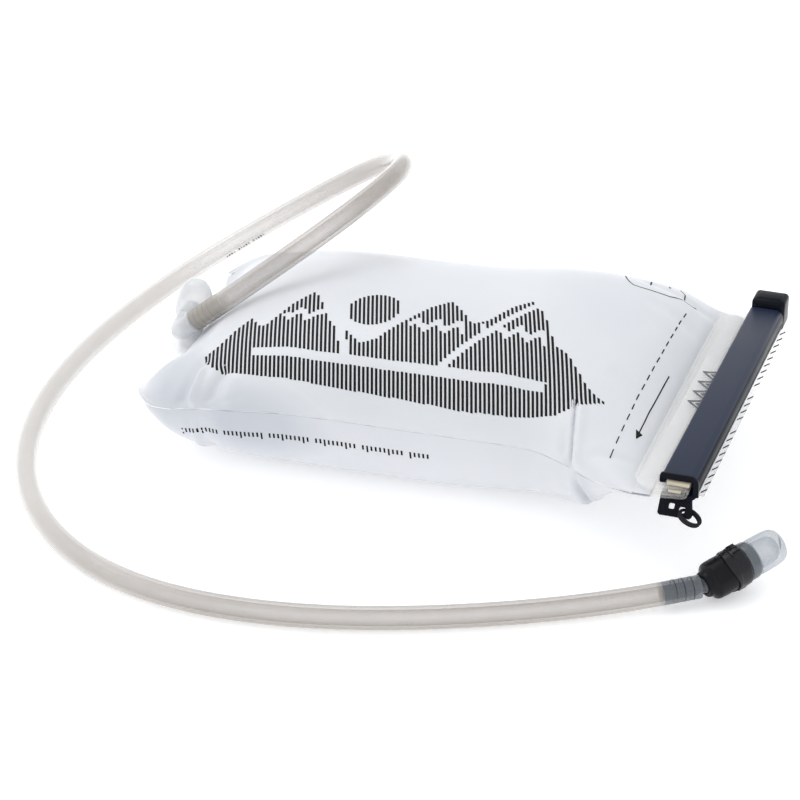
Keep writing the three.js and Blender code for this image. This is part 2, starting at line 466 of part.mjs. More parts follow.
// Origin: centre of the footprint of everything but the hose and what it
// carries, on the surface the bag lies on.
const onCord = new Set(['drinking_hose', 'valve_stem', 'valve_housing', 'shutoff_core', 'core_oring_rear', 'core_oring_front', 'shutoff_ring', 'valve_collar', 'bite_tip']);
const box = new THREE.Box3();
for (const mesh of bodyGroup.children) if (!onCord.has(mesh.name)) { mesh.geometry.computeBoundingBox(); box.union(mesh.geometry.boundingBox); }
bodyGroup.position.set(-(box.min.x + box.max.x) / 2, -(box.min.y + box.max.y) / 2, -box.min.z);

export default root;
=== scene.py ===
import math
import bpy
import numpy as np
from mathutils import Matrix, Vector


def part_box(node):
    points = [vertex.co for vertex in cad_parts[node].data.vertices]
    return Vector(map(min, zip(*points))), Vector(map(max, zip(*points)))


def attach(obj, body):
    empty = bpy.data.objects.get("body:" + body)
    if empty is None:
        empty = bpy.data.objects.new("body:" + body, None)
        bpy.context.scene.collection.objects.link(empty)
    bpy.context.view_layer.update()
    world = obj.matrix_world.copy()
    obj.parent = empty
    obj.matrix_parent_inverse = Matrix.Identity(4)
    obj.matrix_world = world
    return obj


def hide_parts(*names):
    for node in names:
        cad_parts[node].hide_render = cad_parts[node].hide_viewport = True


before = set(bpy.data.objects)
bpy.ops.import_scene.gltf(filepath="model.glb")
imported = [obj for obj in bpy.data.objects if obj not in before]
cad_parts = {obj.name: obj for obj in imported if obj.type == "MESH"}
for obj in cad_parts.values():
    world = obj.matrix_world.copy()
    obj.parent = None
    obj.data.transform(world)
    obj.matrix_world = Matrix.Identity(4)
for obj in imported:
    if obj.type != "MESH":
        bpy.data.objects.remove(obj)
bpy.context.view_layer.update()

# --------------------------------------------------------------------------
# Drawing coordinates (millimetres) to row coordinates (metres).  The upper
# rail's outline is known in both.
# --------------------------------------------------------------------------
_lo, _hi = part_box("upper_rail")
OX = _lo.x - 0.1473
OY = _lo.y + 0.1065


def row(p):
    p = np.asarray(p, float)
    return np.stack([p[..., 0] / 1000 + OX, p[..., 1] / 1000 + OY, p[..., 2] / 1000], -1)


# --------------------------------------------------------------------------
# Camera
# --------------------------------------------------------------------------
CAM_BACK = np.array([math.sin(math.radians(19)) * math.cos(math.radians(28)),
                     -math.cos(math.radians(19)) * math.cos(math.radians(28)),
                     math.sin(math.radians(28))])
cam_data = bpy.data.cameras.new("camera")
cam = bpy.data.objects.new("camera", cam_data)
bpy.context.scene.collection.objects.link(cam)
cam.location = Vector(row(CAM_BACK * 1253.84))
cam.rotation_mode = "QUATERNION"
cam.rotation_quaternion = Vector(-CAM_BACK).to_track_quat("-Z", "Y")
cam_data.sensor_width = 36.0
cam_data.lens = 126.506
cam_data.clip_start, cam_data.clip_end = 0.05, 20
bpy.context.scene.camera = cam

# --------------------------------------------------------------------------
# Mesh helpers
# --------------------------------------------------------------------------


def make(name, verts, faces, mats, body, replaces=(), smooth=True, angle=None, row_space=False, face_mats=None):
    v = np.asarray(verts, float)
    if not row_space:
        v = row(v)
    me = bpy.data.meshes.new(name)
    me.from_pydata([tuple(p) for p in v], [], [tuple(int(i) for i in f) for f in faces])
    mats = mats if isinstance(mats, (list, tuple)) else [mats]
    for m in mats:
        me.materials.append(m)
    if face_mats is not None:
        me.polygons.foreach_set("material_index", np.asarray(face_mats, np.int32))
    me.update()
    me.validate()
    if smooth:
        me.polygons.foreach_set("use_smooth", [True] * len(me.polygons))
        if angle is not None:
            me.set_sharp_from_angle(angle=math.radians(angle))
    ob = bpy.data.objects.new(name, me)
    bpy.context.scene.collection.objects.link(ob)
    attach(ob, body)
    if replaces:
        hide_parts(*replaces)
    return ob


def grid_faces(n, m, base=0, wrap=False, flip=False):
    f = []
    for i in range(n - 1):
        for j in range(m if wrap else m - 1):
            a, b = base + i * m + j, base + i * m + (j + 1) % m
            c, d = base + (i + 1) * m + (j + 1) % m, base + (i + 1) * m + j
            f.append((a, d, c, b) if flip else (a, b, c, d))
    return f


def fix_normals(ob):
    """Faces of a closed mesh point out."""
    import bmesh
    bm = bmesh.new()
    bm.from_mesh(ob.data)
    bmesh.ops.recalc_face_normals(bm, faces=bm.faces)
    bm.to_mesh(ob.data)
    bm.free()
    return ob


def basis(direction, roll=0.0):
    z = np.asarray(direction, float)
    z = z / np.linalg.norm(z)
    x = np.cross([0, 0, 1], z)
    if abs(z[2]) > 0.8:
        x = np.array([1.0, 0, 0]) - z * z[0]
    x = x / np.linalg.norm(x)
    y = np.cross(z, x)
    c, s = math.cos(roll), math.sin(roll)
    return np.stack([x * c + y * s, -x * s + y * c, z])


def lathe(profile, at, direction, n=64, closed=False, radius=None):
    """Turned closed mesh.  profile: [r, s] pairs; closed profiles make a ring.
    radius(phi, r, s) may shape it round the axis."""
    B = basis(direction)
    at = np.asarray(at, float)
    prof = list(profile)
    verts, faces = [], []
    rings = []
    for r, s in prof:
        if r < 1e-6:
            rings.append([len(verts)])
            verts.append(at + B[2] * s)
        else:
            ids = []
            for k in range(n):
                a = 2 * math.pi * k / n
                rr = radius(a, r, s) if radius else r
                ss = s
                if isinstance(rr, tuple):
                    rr, ss = rr
                ids.append(len(verts))
                verts.append(at + B[0] * rr * math.cos(a) + B[1] * rr * math.sin(a) + B[2] * ss)
            rings.append(ids)
    pairs = [(i, i + 1) for i in range(len(rings) - 1)]
    if closed:
        pairs.append((len(rings) - 1, 0))
    for i, j in pairs:
        A, C = rings[i], rings[j]
        if len(A) == 1 and len(C) == 1:
            continue
        for k in range(n):
            k2 = (k + 1) % n
            if len(A) == 1:
                faces.append((A[0], C[k2], C[k]))
            elif len(C) == 1:
                faces.append((A[k], A[k2], C[0]))
            else:
                faces.append((A[k], A[k2], C[k2], C[k]))
    return np.array(verts), faces


def bevel_profile(points, r=0.35, n=3, closed=False):
    """Rounds the corners of a profile."""
    out = []
    pts = [np.array(p, float) for p in points]
    N = len(pts)
    for i, p in enumerate(pts):
        if not closed and (i == 0 or i == N - 1):
            out.append(tuple(p))
            continue
        a, b = pts[(i - 1) % N], pts[(i + 1) % N]
        u, v = a - p, b - p
        lu, lv = np.linalg.norm(u), np.linalg.norm(v)
        if lu < 1e-9 or lv < 1e-9:
            continue
        cosang = np.dot(u, v) / lu / lv
        if cosang < -0.985:
            out.append(tuple(p))
            continue
        d = min(r, lu * 0.42, lv * 0.42)
        s, e = p + u / lu * d, p + v / lv * d
        for k in range(n + 1):
            t = k / n
            out.append(tuple((1 - t) ** 2 * s + 2 * t * (1 - t) * p + t * t * e))
    return out


def spline(points, per=8):
    """Centripetal Catmull-Rom through the points."""
    P = np.asarray(points, float)
    P = np.vstack([2 * P[0] - P[1], P, 2 * P[-1] - P[-2]])
    out = []
    for i in range(1, len(P) - 2):
        p0, p1, p2, p3 = P[i - 1:i + 3]
        d0, d1, d2 = (max(np.linalg.norm(b - a) ** 0.5, 1e-4) for a, b in ((p0, p1), (p1, p2), (p2, p3)))
        t1 = (p1 - p0) / d0 - (p2 - p0) / (d0 + d1) + (p2 - p1) / d1
        t2 = (p2 - p1) / d1 - (p3 - p1) / (d1 + d2) + (p3 - p2) / d2
        t1, t2 = t1 * d1, t2 * d1
        for k in range(per):
            t = k / per
            out.append(p1 * (2 * t**3 - 3 * t**2 + 1) + t1 * (t**3 - 2 * t**2 + t) + p2 * (-2 * t**3 + 3 * t**2) + t2 * (t**3 - t**2))
    out.append(P[-2])
    return np.array(out)


def frames(path):
    """Parallel-transport frames along a path."""
    T = np.gradient(path, axis=0)
    T /= np.linalg.norm(T, axis=1)[:, None]
    n = np.cross([0, 0, 1.0], T[0])
    n /= np.linalg.norm(n)
    N = [n]
    for i in range(1, len(T)):
        n = N[-1] - T[i] * np.dot(N[-1], T[i])
        N.append(n / np.linalg.norm(n))
    N = np.array(N)
    return T, N, np.cross(T, N)


def tube(path, r, n=24, caps=True):
    """Solid rod along a path; r is a number or one per point."""
    T, N, B = frames(path)
    r = np.broadcast_to(np.asarray(r, float), (len(path),))
    a = np.linspace(0, 2 * math.pi, n, endpoint=False)
    V = (path[:, None, :] + r[:, None, None] * (np.cos(a)[None, :, None] * N[:, None, :] + np.sin(a)[None, :, None] * B[:, None, :])).reshape(-1, 3)
    F = grid_faces(len(path), n, wrap=True)
    if caps:
        F.append(tuple(range(n))[::-1])
        F.append(tuple((len(path) - 1) * n + k for k in range(n)))
    return V, F


def hollow_tube(path, ro, ri, n=40):
    T, N, B = frames(path)
    a = np.linspace(0, 2 * math.pi, n, endpoint=False)
    ring = np.cos(a)[None, :, None] * N[:, None, :] + np.sin(a)[None, :, None] * B[:, None, :]
    Vo = (path[:, None, :] + ro * ring).reshape(-1, 3)
    Vi = (path[:, None, :] + ri * ring).reshape(-1, 3)
    m = len(path)
    F = grid_faces(m, n, wrap=True)
    F += grid_faces(m, n, base=m * n, wrap=True, flip=True)
    for i in (0, m - 1):
        for k in range(n):
            k2 = (k + 1) % n
            o1, o2, i1, i2 = i * n + k, i * n + k2, m * n + i * n + k, m * n + i * n + k2
            F.append((o1, i1, i2, o2) if i == 0 else (o1, o2, i2, i1))
    return np.vstack([Vo, Vi]), F


# --------------------------------------------------------------------------
# Materials
# --------------------------------------------------------------------------


def material(name):
    m = bpy.data.materials.new(name)
    m.use_nodes = True
    nt = m.node_tree
    p = next(n for n in nt.nodes if n.type == "BSDF_PRINCIPLED")
    return m, nt, p


def coords(nt, scale=(1, 1, 1)):
    tc = nt.nodes.new("ShaderNodeTexCoord")
    mp = nt.nodes.new("ShaderNodeMapping")
    mp.inputs["Scale"].default_value = scale
    nt.links.new(tc.outputs["Object"], mp.inputs["Vector"])
    return mp.outputs["Vector"]


def noise(nt, vec, scale, detail=2.0, rough=0.5):
    n = nt.nodes.new("ShaderNodeTexNoise")
    n.inputs["Scale"].default_value = scale
    n.inputs["Detail"].default_value = detail
    n.inputs["Roughness"].default_value = rough
    nt.links.new(vec, n.inputs["Vector"])
    return n.outputs["Fac"]


def remap(nt, fac, a, b, lo=0.0, hi=1.0):
    r = nt.nodes.new("ShaderNodeMapRange")
    r.inputs["From Min"].default_value = lo
    r.inputs["From Max"].default_value = hi
    r.inputs["To Min"].default_value = a
    r.inputs["To Max"].default_value = b
    nt.links.new(fac, r.inputs["Value"])
    return r.outputs["Result"]


def mixed(nt, fac, ca, cb):
    m = nt.nodes.new("ShaderNodeMix")
    m.data_type = "RGBA"
    m.inputs[6].default_value = (*ca, 1)
    m.inputs[7].default_value = (*cb, 1)
    nt.links.new(fac, m.inputs[0])
    return m.outputs[2]


def bump(nt, p, height, strength, distance):
    b = nt.nodes.new("ShaderNodeBump")
    b.inputs["Strength"].default_value = strength
    b.inputs["Distance"].default_value = distance
    nt.links.new(height, b.inputs["Height"])
    nt.links.new(b.outputs["Normal"], p.inputs["Normal"])
    return b


def film_material(name, c_lo, c_hi, alpha_face, alpha_edge, rough=(0.28, 0.42), painted_shade_ovals=()):
    m, nt, p = material(name)
    vec = coords(nt)
    big = noise(nt, vec, 14.0, 3.0)
    fine = noise(nt, vec, 420.0, 3.0)
    p.inputs["IOR"].default_value = 1.48
    colour = mixed(nt, remap(nt, big, 0, 1, 0.3, 0.7), c_lo, c_hi)
    for at, size, dark in painted_shade_ovals:
        # a soft oval, in drawing millimetres, of painted shade: there the film's colour is multiplied darker
        tc = nt.nodes.new("ShaderNodeTexCoord")
        mp = nt.nodes.new("ShaderNodeMapping")
        sc = [1000.0 / v for v in size]
        c = row(np.array(at, float))
        mp.inputs["Scale"].default_value = sc
        mp.inputs["Location"].default_value = [-c[k] * sc[k] for k in range(3)]
        nt.links.new(tc.outputs["Object"], mp.inputs["Vector"])
        gr = nt.nodes.new("ShaderNodeTexGradient")
        gr.gradient_type = "SPHERICAL"
        nt.links.new(mp.outputs["Vector"], gr.inputs["Vector"])
        mx = nt.nodes.new("ShaderNodeMix")
        mx.data_type = "RGBA"
        mx.blend_type = "MULTIPLY"
        nt.links.new(remap(nt, gr.outputs["Fac"], 0.0, 1.0, 0.0, 0.6), mx.inputs[0])
        nt.links.new(colour, mx.inputs[6])
        mx.inputs[7].default_value = (*dark, 1)
        colour = mx.outputs[2]
    nt.links.new(colour, p.inputs["Base Color"])
    nt.links.new(remap(nt, big, rough[0], rough[1], 0.3, 0.7), p.inputs["Roughness"])
    lw = nt.nodes.new("ShaderNodeLayerWeight")
    lw.inputs["Blend"].default_value = 0.35
    nt.links.new(remap(nt, lw.outputs["Facing"], alpha_face, alpha_edge), p.inputs["Alpha"])
    bump(nt, p, fine, 0.12, 0.0004)
    return m


# ovals of painted shade on the film (centre, size, shade colour): the film is tinted darker where it lies in shade,
# including a painted fold shadow by the crease at x 105
PAINTED_SHADE_OVALS = [((-32, -94, 30), (36, 26, 22), (0.80, 0.82, 0.85)), ((-70, -82, 32), (18, 24, 24), (0.84, 0.855, 0.88)), ((-74, -50, 30), (18, 34, 26), (0.93, 0.935, 0.95)),
           ((105.0, -90, 30), (5.0, 14, 15), (0.76, 0.77, 0.80)), ((86, -4, 60), (30, 60, 20), (0.96, 0.962, 0.97))]
MAT_FILM = film_material("tpu_film_front", (0.755, 0.765, 0.795), (0.80, 0.81, 0.835), 0.74, 0.96, painted_shade_ovals=PAINTED_SHADE_OVALS)
# the lower panel is the same film as the top one, tinted darker as painted shade, with its own ovals of painted shade
MAT_FILM_BACK = film_material("tpu_film_back", (0.70, 0.71, 0.745), (0.745, 0.755, 0.785), 0.82, 0.98, painted_shade_ovals=[((-32, -94, 30), (36, 26, 22), (0.80, 0.82, 0.85)), ((-70, -82, 32), (18, 24, 24), (0.84, 0.855, 0.88)), ((112, -96, 20), (7, 14, 26), (0.86, 0.87, 0.89))])
# the weld fin is the same film tinted lighter: painted light that washes out the shade along the seam
MAT_WELD = film_material("tpu_weld", (0.86, 0.87, 0.89), (0.90, 0.905, 0.925), 0.96, 0.99, rough=(0.25, 0.36))
MAT_FLAP = film_material("tpu_film_flap", (0.84, 0.825, 0.80), (0.89, 0.875, 0.855), 0.05, 0.40)


def plastic(name, c_lo, c_hi, rough=(0.35, 0.5), fine_scale=900.0, fine_strength=0.12, spec=0.5, alpha=None, coat=0.0, bump_dist=0.0002):
    m, nt, p = material(name)
    vec = coords(nt)
    big = noise(nt, vec, 35.0, 4.0)
    fine = noise(nt, vec, fine_scale, 2.0)
    nt.links.new(mixed(nt, remap(nt, big, 0, 1, 0.3, 0.7), c_lo, c_hi), p.inputs["Base Color"])
    nt.links.new(remap(nt, big, rough[0], rough[1], 0.3, 0.7), p.inputs["Roughness"])
    p.inputs["Specular IOR Level"].default_value = spec
    if coat:
        p.inputs["Coat Weight"].default_value = coat
        p.inputs["Coat Roughness"].default_value = 0.12
    if alpha:
        lw = nt.nodes.new("ShaderNodeLayerWeight")
        lw.inputs["Blend"].default_value = 0.4
        nt.links.new(remap(nt, lw.outputs["Facing"], alpha[0], alpha[1]), p.inputs["Alpha"])
    bump(nt, p, fine, fine_strength, bump_dist)
    return m


# the slide's navy black, kept lighter and bluer on its top and front as painted sheen; its back wall, underside and
# ends take a darker copy, as painted shade
MAT_SLIDER = plastic("slider_blue_black_and_sheen", (0.010, 0.016, 0.040), (0.016, 0.023, 0.052), rough=(0.32, 0.42), fine_scale=1500, fine_strength=0.10, spec=0.27)
MAT_CAP = plastic("cap_black", (0.004, 0.0045, 0.008), (0.008, 0.009, 0.014), rough=(0.20, 0.30), fine_scale=1500, fine_strength=0.06, spec=0.07)
MAT_VALVE_BLACK = plastic("valve_black", (0.004, 0.004, 0.0055), (0.008, 0.008, 0.010), rough=(0.24, 0.36), fine_scale=1600, fine_strength=0.10, spec=0.13)
MAT_SMOKE = plastic("smoke_grey", (0.060, 0.068, 0.078), (0.095, 0.104, 0.116), rough=(0.12, 0.22), fine_scale=500, fine_strength=0.05, alpha=(0.84, 0.98), coat=0.2)
MAT_RAIL = plastic("rail_cream", (0.50, 0.45, 0.34), (0.60, 0.55, 0.43), rough=(0.35, 0.5), fine_scale=700, fine_strength=0.1)
# darker copy of the slide's colour for the faces turned from the light: painted shade
MAT_SLIDER_SHADED_SIDE = plastic("slider_side_painted_shade", (0.005, 0.006, 0.012), (0.009, 0.011, 0.018), rough=(0.30, 0.42), fine_scale=1500, fine_strength=0.08, spec=0.07)
MAT_RUBBER = plastic("seal_rubber", (0.012, 0.012, 0.012), (0.02, 0.02, 0.02), rough=(0.45, 0.6))
MAT_RING = plastic("ring_black", (0.007, 0.007, 0.009), (0.013, 0.013, 0.016), rough=(0.22, 0.32), fine_scale=1600, fine_strength=0.10, spec=0.26)
MAT_INK = plastic("ink_black", (0.006, 0.005, 0.005), (0.012, 0.011, 0.011), rough=(0.5, 0.65), fine_scale=2500, fine_strength=0.1, spec=0.12)
MAT_INK_GREY = plastic("ink_grey", (0.13, 0.14, 0.155), (0.19, 0.20, 0.215), rough=(0.45, 0.6), fine_scale=2500, alpha=(0.75, 0.9))
MAT_COLLAR = plastic("collar_grey", (0.070, 0.086, 0.100), (0.105, 0.122, 0.138), rough=(0.12, 0.22), fine_scale=500, fine_strength=0.05, alpha=(0.88, 0.98), coat=0.25)
MAT_SLIT = plastic("slit_shade", (0.22, 0.27, 0.32), (0.28, 0.33, 0.38), rough=(0.3, 0.4), alpha=(0.8, 0.9))
MAT_CORD = plastic("cord_black", (0.006, 0.006, 0.007), (0.014, 0.014, 0.016), rough=(0.55, 0.75), fine_scale=2600, fine_strength=0.6, bump_dist=0.0004, spec=0.2)


def clear(name, tint, rough, alpha, spec=0.5, coat=0.5, painted_shade_drift=None):
    """Clear plastic: tinted body that lets some of what is behind through.
    The last argument, (colour, x0, x1), drifts the tint to that colour between x0 and x1 (m): painted shade, darker
    towards x1."""
    m, nt, p = material(name)
    vec = coords(nt)
    big = noise(nt, vec, 60.0, 3.0)
    t = np.array(tint)
    body = mixed(nt, remap(nt, big, 0, 1, 0.3, 0.7), tuple(t * 0.975), tuple(np.minimum(t * 1.02, 1)))
    if painted_shade_drift:
        sep = nt.nodes.new("ShaderNodeSeparateXYZ")
        nt.links.new(vec, sep.inputs[0])
        drift = nt.nodes.new("ShaderNodeMix")
        drift.data_type = "RGBA"
        drift.inputs[7].default_value = (*painted_shade_drift[0], 1)
        nt.links.new(body, drift.inputs[6])
        nt.links.new(remap(nt, sep.outputs[0], 0, 1, painted_shade_drift[1], painted_shade_drift[2]), drift.inputs[0])
        body = drift.outputs[2]
    nt.links.new(body, p.inputs["Base Color"])
    p.inputs["Roughness"].default_value = rough
    p.inputs["Specular IOR Level"].default_value = spec
    p.inputs["Coat Weight"].default_value = coat
    p.inputs["Coat Roughness"].default_value = 0.05
    lw = nt.nodes.new("ShaderNodeLayerWeight")
    lw.inputs["Blend"].default_value = 0.5
    nt.links.new(remap(nt, lw.outputs["Facing"], alpha[0], alpha[1]), p.inputs["Alpha"])
    bump(nt, p, noise(nt, vec, 160.0, 2.0), 0.04, 0.0005)
    return m


MAT_ELBOW = clear("elbow_clear", (0.70, 0.71, 0.725), 0.14, (0.34, 0.90))
MAT_BOOT = clear("boot_clear", (0.95, 0.955, 0.965), 0.3, (0.40, 0.88), coat=0.2)
MAT_TIP = clear("silicone_clear", (0.43, 0.465, 0.505), 0.16, (0.26, 0.84), coat=0.5)
# the hose and its bore drift to a darker tint from x -0.150 m to -0.045 m: painted shade, leaving the low-x run lighter
MAT_HOSE = clear("hose_clear", (0.72, 0.69, 0.66), 0.10, (0.27, 0.84), coat=0.7, painted_shade_drift=((0.43, 0.388, 0.350), -0.150, -0.045))
MAT_HOSE_IN = clear("hose_bore", (0.61, 0.57, 0.54), 0.2, (0.24, 0.72), coat=0.0, painted_shade_drift=((0.37, 0.318, 0.280), -0.150, -0.045))
MAT_HOSE_BARB = clear("hose_over_barb", (0.47, 0.43, 0.385), 0.12, (0.42, 0.80), spec=0.4, coat=0.4)
MAT_HOSE_STEM = clear("hose_over_stem", (0.125, 0.138, 0.155), 0.12, (0.60, 0.74), spec=0.4, coat=0.35)
# darker tints for the rings over the barbs: painted shade along each swell
MAT_BARB_LINE = clear("barb_line", (0.33, 0.295, 0.26), 0.2, (0.55, 0.75), spec=0.2, coat=0.0)
MAT_STEM_LINE = clear("stem_line", (0.030, 0.034, 0.040), 0.2, (0.75, 0.85), spec=0.2, coat=0.0)

# --------------------------------------------------------------------------
# Drinking hose: 9.5 mm outside, 6.4 mm bore
# --------------------------------------------------------------------------
HOSE = [
    (-79.90, -40.70, 46.00), (-62.61, -39.46, 60.10), (-45.48, -36.65, 74.16), (-29.14, -28.75, 86.96),
    (-17.31, -11.98, 95.07), (-12.20, 9.54, 97.26), (-12.20, 31.75, 95.35), (-16.81, 52.98, 90.36),
    (-25.59, 72.11, 83.01), (-37.98, 87.95, 73.37), (-53.16, 99.45, 61.78), (-70.21, 106.24, 49.11),
    (-88.34, 108.02, 36.25), (-106.56, 104.12, 24.05), (-123.14, 93.36, 13.93), (-135.08, 75.69, 7.80),
    (-141.71, 54.53, 5.47), (-145.37, 32.49, 4.93), (-147.56, 10.25, 4.85), (-148.40, -12.08, 4.85),
    (-147.73, -34.41, 4.85), (-145.42, -56.64, 4.85), (-141.15, -78.57, 4.85), (-134.60, -99.93, 4.85),
    (-125.58, -120.36, 4.85), (-113.92, -139.41, 4.85), (-99.55, -156.50, 4.85), (-82.62, -171.05, 4.85),
    (-63.36, -182.31, 4.85), (-42.23, -189.50, 4.85), (-20.12, -192.56, 4.85), (2.21, -192.10, 4.85),
    (24.30, -188.83, 4.85), (45.94, -183.26, 4.85), (67.01, -175.81, 4.85), (87.54, -166.98, 4.86),
    (107.60, -157.14, 4.96), (127.22, -146.43, 5.35), (146.47, -135.12, 6.23), (166.02, -122.51, 7.60),
]
hose_line = spline(HOSE, 9)
hv, hf = hollow_tube(hose_line, 4.75, 3.2, 48)
nfo = (len(hose_line) - 1) * 48
hose_arc = np.concatenate([[0], np.cumsum(np.linalg.norm(np.diff(hose_line, axis=0), axis=1))])
seg_mid = (hose_arc[1:] + hose_arc[:-1]) / 2
over = (seg_mid < 16.5) | (seg_mid > hose_arc[-1] - 16.8)
tail_end = seg_mid > 100
outer_mats = np.repeat(np.where(over, np.where(tail_end, 3, 2), 0), 48)
inner_mats = np.repeat(np.where(over, np.where(tail_end, 3, 2), 1), 48)
hose = make("drinking_hose_tube", hv, hf, [MAT_HOSE, MAT_HOSE_IN, MAT_HOSE_BARB, MAT_HOSE_STEM], "reservoir", ["drinking_hose"],
            face_mats=list(outer_mats) + list(inner_mats) + [0] * (len(hf) - 2 * nfo), angle=50)

# --------------------------------------------------------------------------
# The film bag
# --------------------------------------------------------------------------
BAG = np.array([
    [-91,-78,26,22,19,28,37],[-87,-82.5,34,29,15,27.5,38],[-82.5,-86.5,38.5,36.5,10,27.5,38.5],[-76,-90,41,44,6,28.5,39],
    [-66,-93,41,51.5,2.5,31,39.5],[-54,-95,39.5,59,0,34,39.5],[-38,-95.5,37,66.5,-2,36,39],[-18,-95,34,72,-3,38,38.5],
    [10,-94,31.5,74,-3,38.5,38.5],[40,-93,34,74,-3,38.5,38.5],[65,-92,42,74,-2,38.5,38.5],[85,-91,49.5,71.5,0,38,38.5],
    [102,-96,55,65,2,37,40],[115,-103,58,57,13,36,40.5],[126,-107.5,58.6,47,28.5,36.4,38],[134.5,-110,57.6,37.6,35.9,36.75,36.75]
], float)
FILM_T, SEAM_GAP = 0.7, 0.3
END_SAG, END_INSET = 12.0, 4.0


def monotone(x, col):
    X, Y = BAG[:, 0], BAG[:, col]
    n = len(X) - 1
    x = np.asarray(x, float)
    i = np.clip(np.searchsorted(X, x) - 1, 0, n - 1)
    d = np.diff(Y) / np.diff(X)
    s = np.zeros(n + 1)
    s[0], s[n] = d[0], d[-1]
    for j in range(1, n):
        s[j] = 0 if d[j - 1] * d[j] <= 0 else 2 * d[j - 1] * d[j] / (d[j - 1] + d[j])
    h = X[i + 1] - X[i]
    t = (x - X[i]) / h
    return Y[i] * (2 * t**3 - 3 * t**2 + 1) + s[i] * h * (t**3 - 2 * t**2 + t) + Y[i + 1] * (-2 * t**3 + 3 * t**2) + s[i + 1] * h * (t**3 - t**2)


def bag_inner(x, u, top):
    """Inner face of the film, as the CAD panels have it."""
    x, u = np.broadcast_arrays(np.asarray(x, float), np.asarray(u, float))
    yN, yF, zT, zB, zN, zF = (monotone(x, c) for c in range(1, 7))
    w = np.clip((-60 - x) / 31, 0, 1) ** 1.5
    seam = lambda s: zN + (zF - zN) * (s + 1) / 2 - END_SAG * w * (1 - s * s)
    m = 2.15 if top else 2.5
    g = np.clip(1 - np.abs(u) ** m, 0, 1) ** (1 / m)
    y = (yN + yF) / 2 + ((yF - yN) / 2 - FILM_T) * u
    px = x + END_INSET * w * (1 - u * u)
    h = SEAM_GAP / 2
    if top:
        z = seam(u) + h + np.maximum(0, zT - FILM_T - h - seam(0 * u)) * g
    else:
        z = np.maximum(FILM_T, seam(u) - h - np.maximum(0, seam(0 * u) - h - zB - FILM_T) * g)
    return np.stack([px, y, z], -1)


MOUTH_Y0, MOUTH_Y1 = -110.0, 52.5


FLAP_Y1 = 57.0


def flap_lift(x, y):
    """How far the loose flap stands up off the slide's lip."""
    t = np.clip((y + 110) / 125, 0, 1)
    return (0.7 + 3.0 * t * t * (3 - 2 * t)) * np.clip((144.2 - x) / 10.8, 0, 1) ** 1.5


def mouth_path(front):
    zc, xc, r = 38.7, 153.6, (1.45 if front else 1.75)
    rows = [[138.5, zc - r, MOUTH_Y0, 57.0], [141.4, zc - r, MOUTH_Y0 + 0.3, 55.0], [143.6, zc - r, MOUTH_Y0 + 0.9, MOUTH_Y1 + 0.3], [148.5, zc - r, MOUTH_Y0 + 2.1, MOUTH_Y1], [xc, zc - r, MOUTH_Y0 + 2.8, MOUTH_Y1]]
    for i in range(1, 13):
        a = math.pi * i / 12
        rows.append([xc + r * math.sin(a), zc - r * math.cos(a), MOUTH_Y0 + 2.8, MOUTH_Y1])
    z1 = zc + r
    rows.append([147, z1, MOUTH_Y0 + 1.9, MOUTH_Y1])
    rows.append([144.2, z1, MOUTH_Y0 + 1.0, MOUTH_Y1 + 0.3])
    rows.append([143.2, z1, MOUTH_Y0 + 0.8, FLAP_Y1 - 2.0])
    end = 134.6 if front else 133.4
    R = 8.0
    for k in range(0, 17):
        a = (math.pi / 2) * k / 16
        rows.append([end + R * (1 - math.sin(a)), z1, MOUTH_Y0 + 0.5 + R * (1 - math.cos(a)) * 0.98, FLAP_Y1 - 0.2 - R * (1 - math.cos(a)) * 0.98])
    return rows


NU = 97
UCOL = -np.cos(np.pi * np.arange(NU) / (NU - 1))
XBAG = np.concatenate([np.linspace(-91, -66, 40)[:-1], np.linspace(-66, -38, 64)[:-1], np.linspace(-38, 92, 66)[:-1], np.linspace(92, 114, 56)[:-1], np.linspace(114, 134.5, 22)])


def film_grid(front):
    rows = [bag_inner(np.full(NU, x), UCOL, front) for x in XBAG]
    n_bag = len(rows)
    for x, z, y0, y1 in mouth_path(front):
        y = (y0 + y1) / 2 + (y1 - y0) / 2 * UCOL
        rows.append(np.stack([np.full(NU, x), y, z + (flap_lift(x, y) if z > 39.7 else 0 * y)], -1))
    return np.array(rows), n_bag


def normals(G, front):
    ds = np.gradient(G, axis=0)
    du = np.gradient(G, axis=1)
    N = np.cross(ds, du)
    N /= np.maximum(np.linalg.norm(N, axis=2, keepdims=True), 1e-9)
    return N if front else -N


def bell(d, w):
    return np.exp(-(d / w) ** 2)


def crease(P, a, b, width, depth, taper=0.25):
    """Height of a furrow or ridge along a-b (x, y in drawing millimetres)."""
    a, b = np.array(a, float), np.array(b, float)
    d = b - a
    L = np.linalg.norm(d)
    t = ((P[..., 0] - a[0]) * d[0] + (P[..., 1] - a[1]) * d[1]) / L**2
    off = ((P[..., 0] - a[0]) * -d[1] + (P[..., 1] - a[1]) * d[0]) / L
    ends = np.clip((t + taper) / taper, 0, 1) * np.clip((1 + taper - t) / taper, 0, 1)
    ends = ends * ends * (3 - 2 * ends)
    return depth * bell(off, width) * ends


def wave_noise(P, seed, scale, octaves=3):
    """Smooth seeded noise from summed sines."""
    rng = np.random.default_rng(seed)
    v = np.zeros(P.shape[:-1])
    amp = 1.0
    tot = 0
    for o in range(octaves):
        for _ in range(5):
            k = rng.normal(size=3)
            k = k / np.linalg.norm(k) * (2 * math.pi / scale) * (2**o) * rng.uniform(0.7, 1.3)
            v = v + amp * np.sin(P @ k + rng.uniform(0, 2 * math.pi))
            tot += amp
        amp *= 0.5
    return v / tot * 2


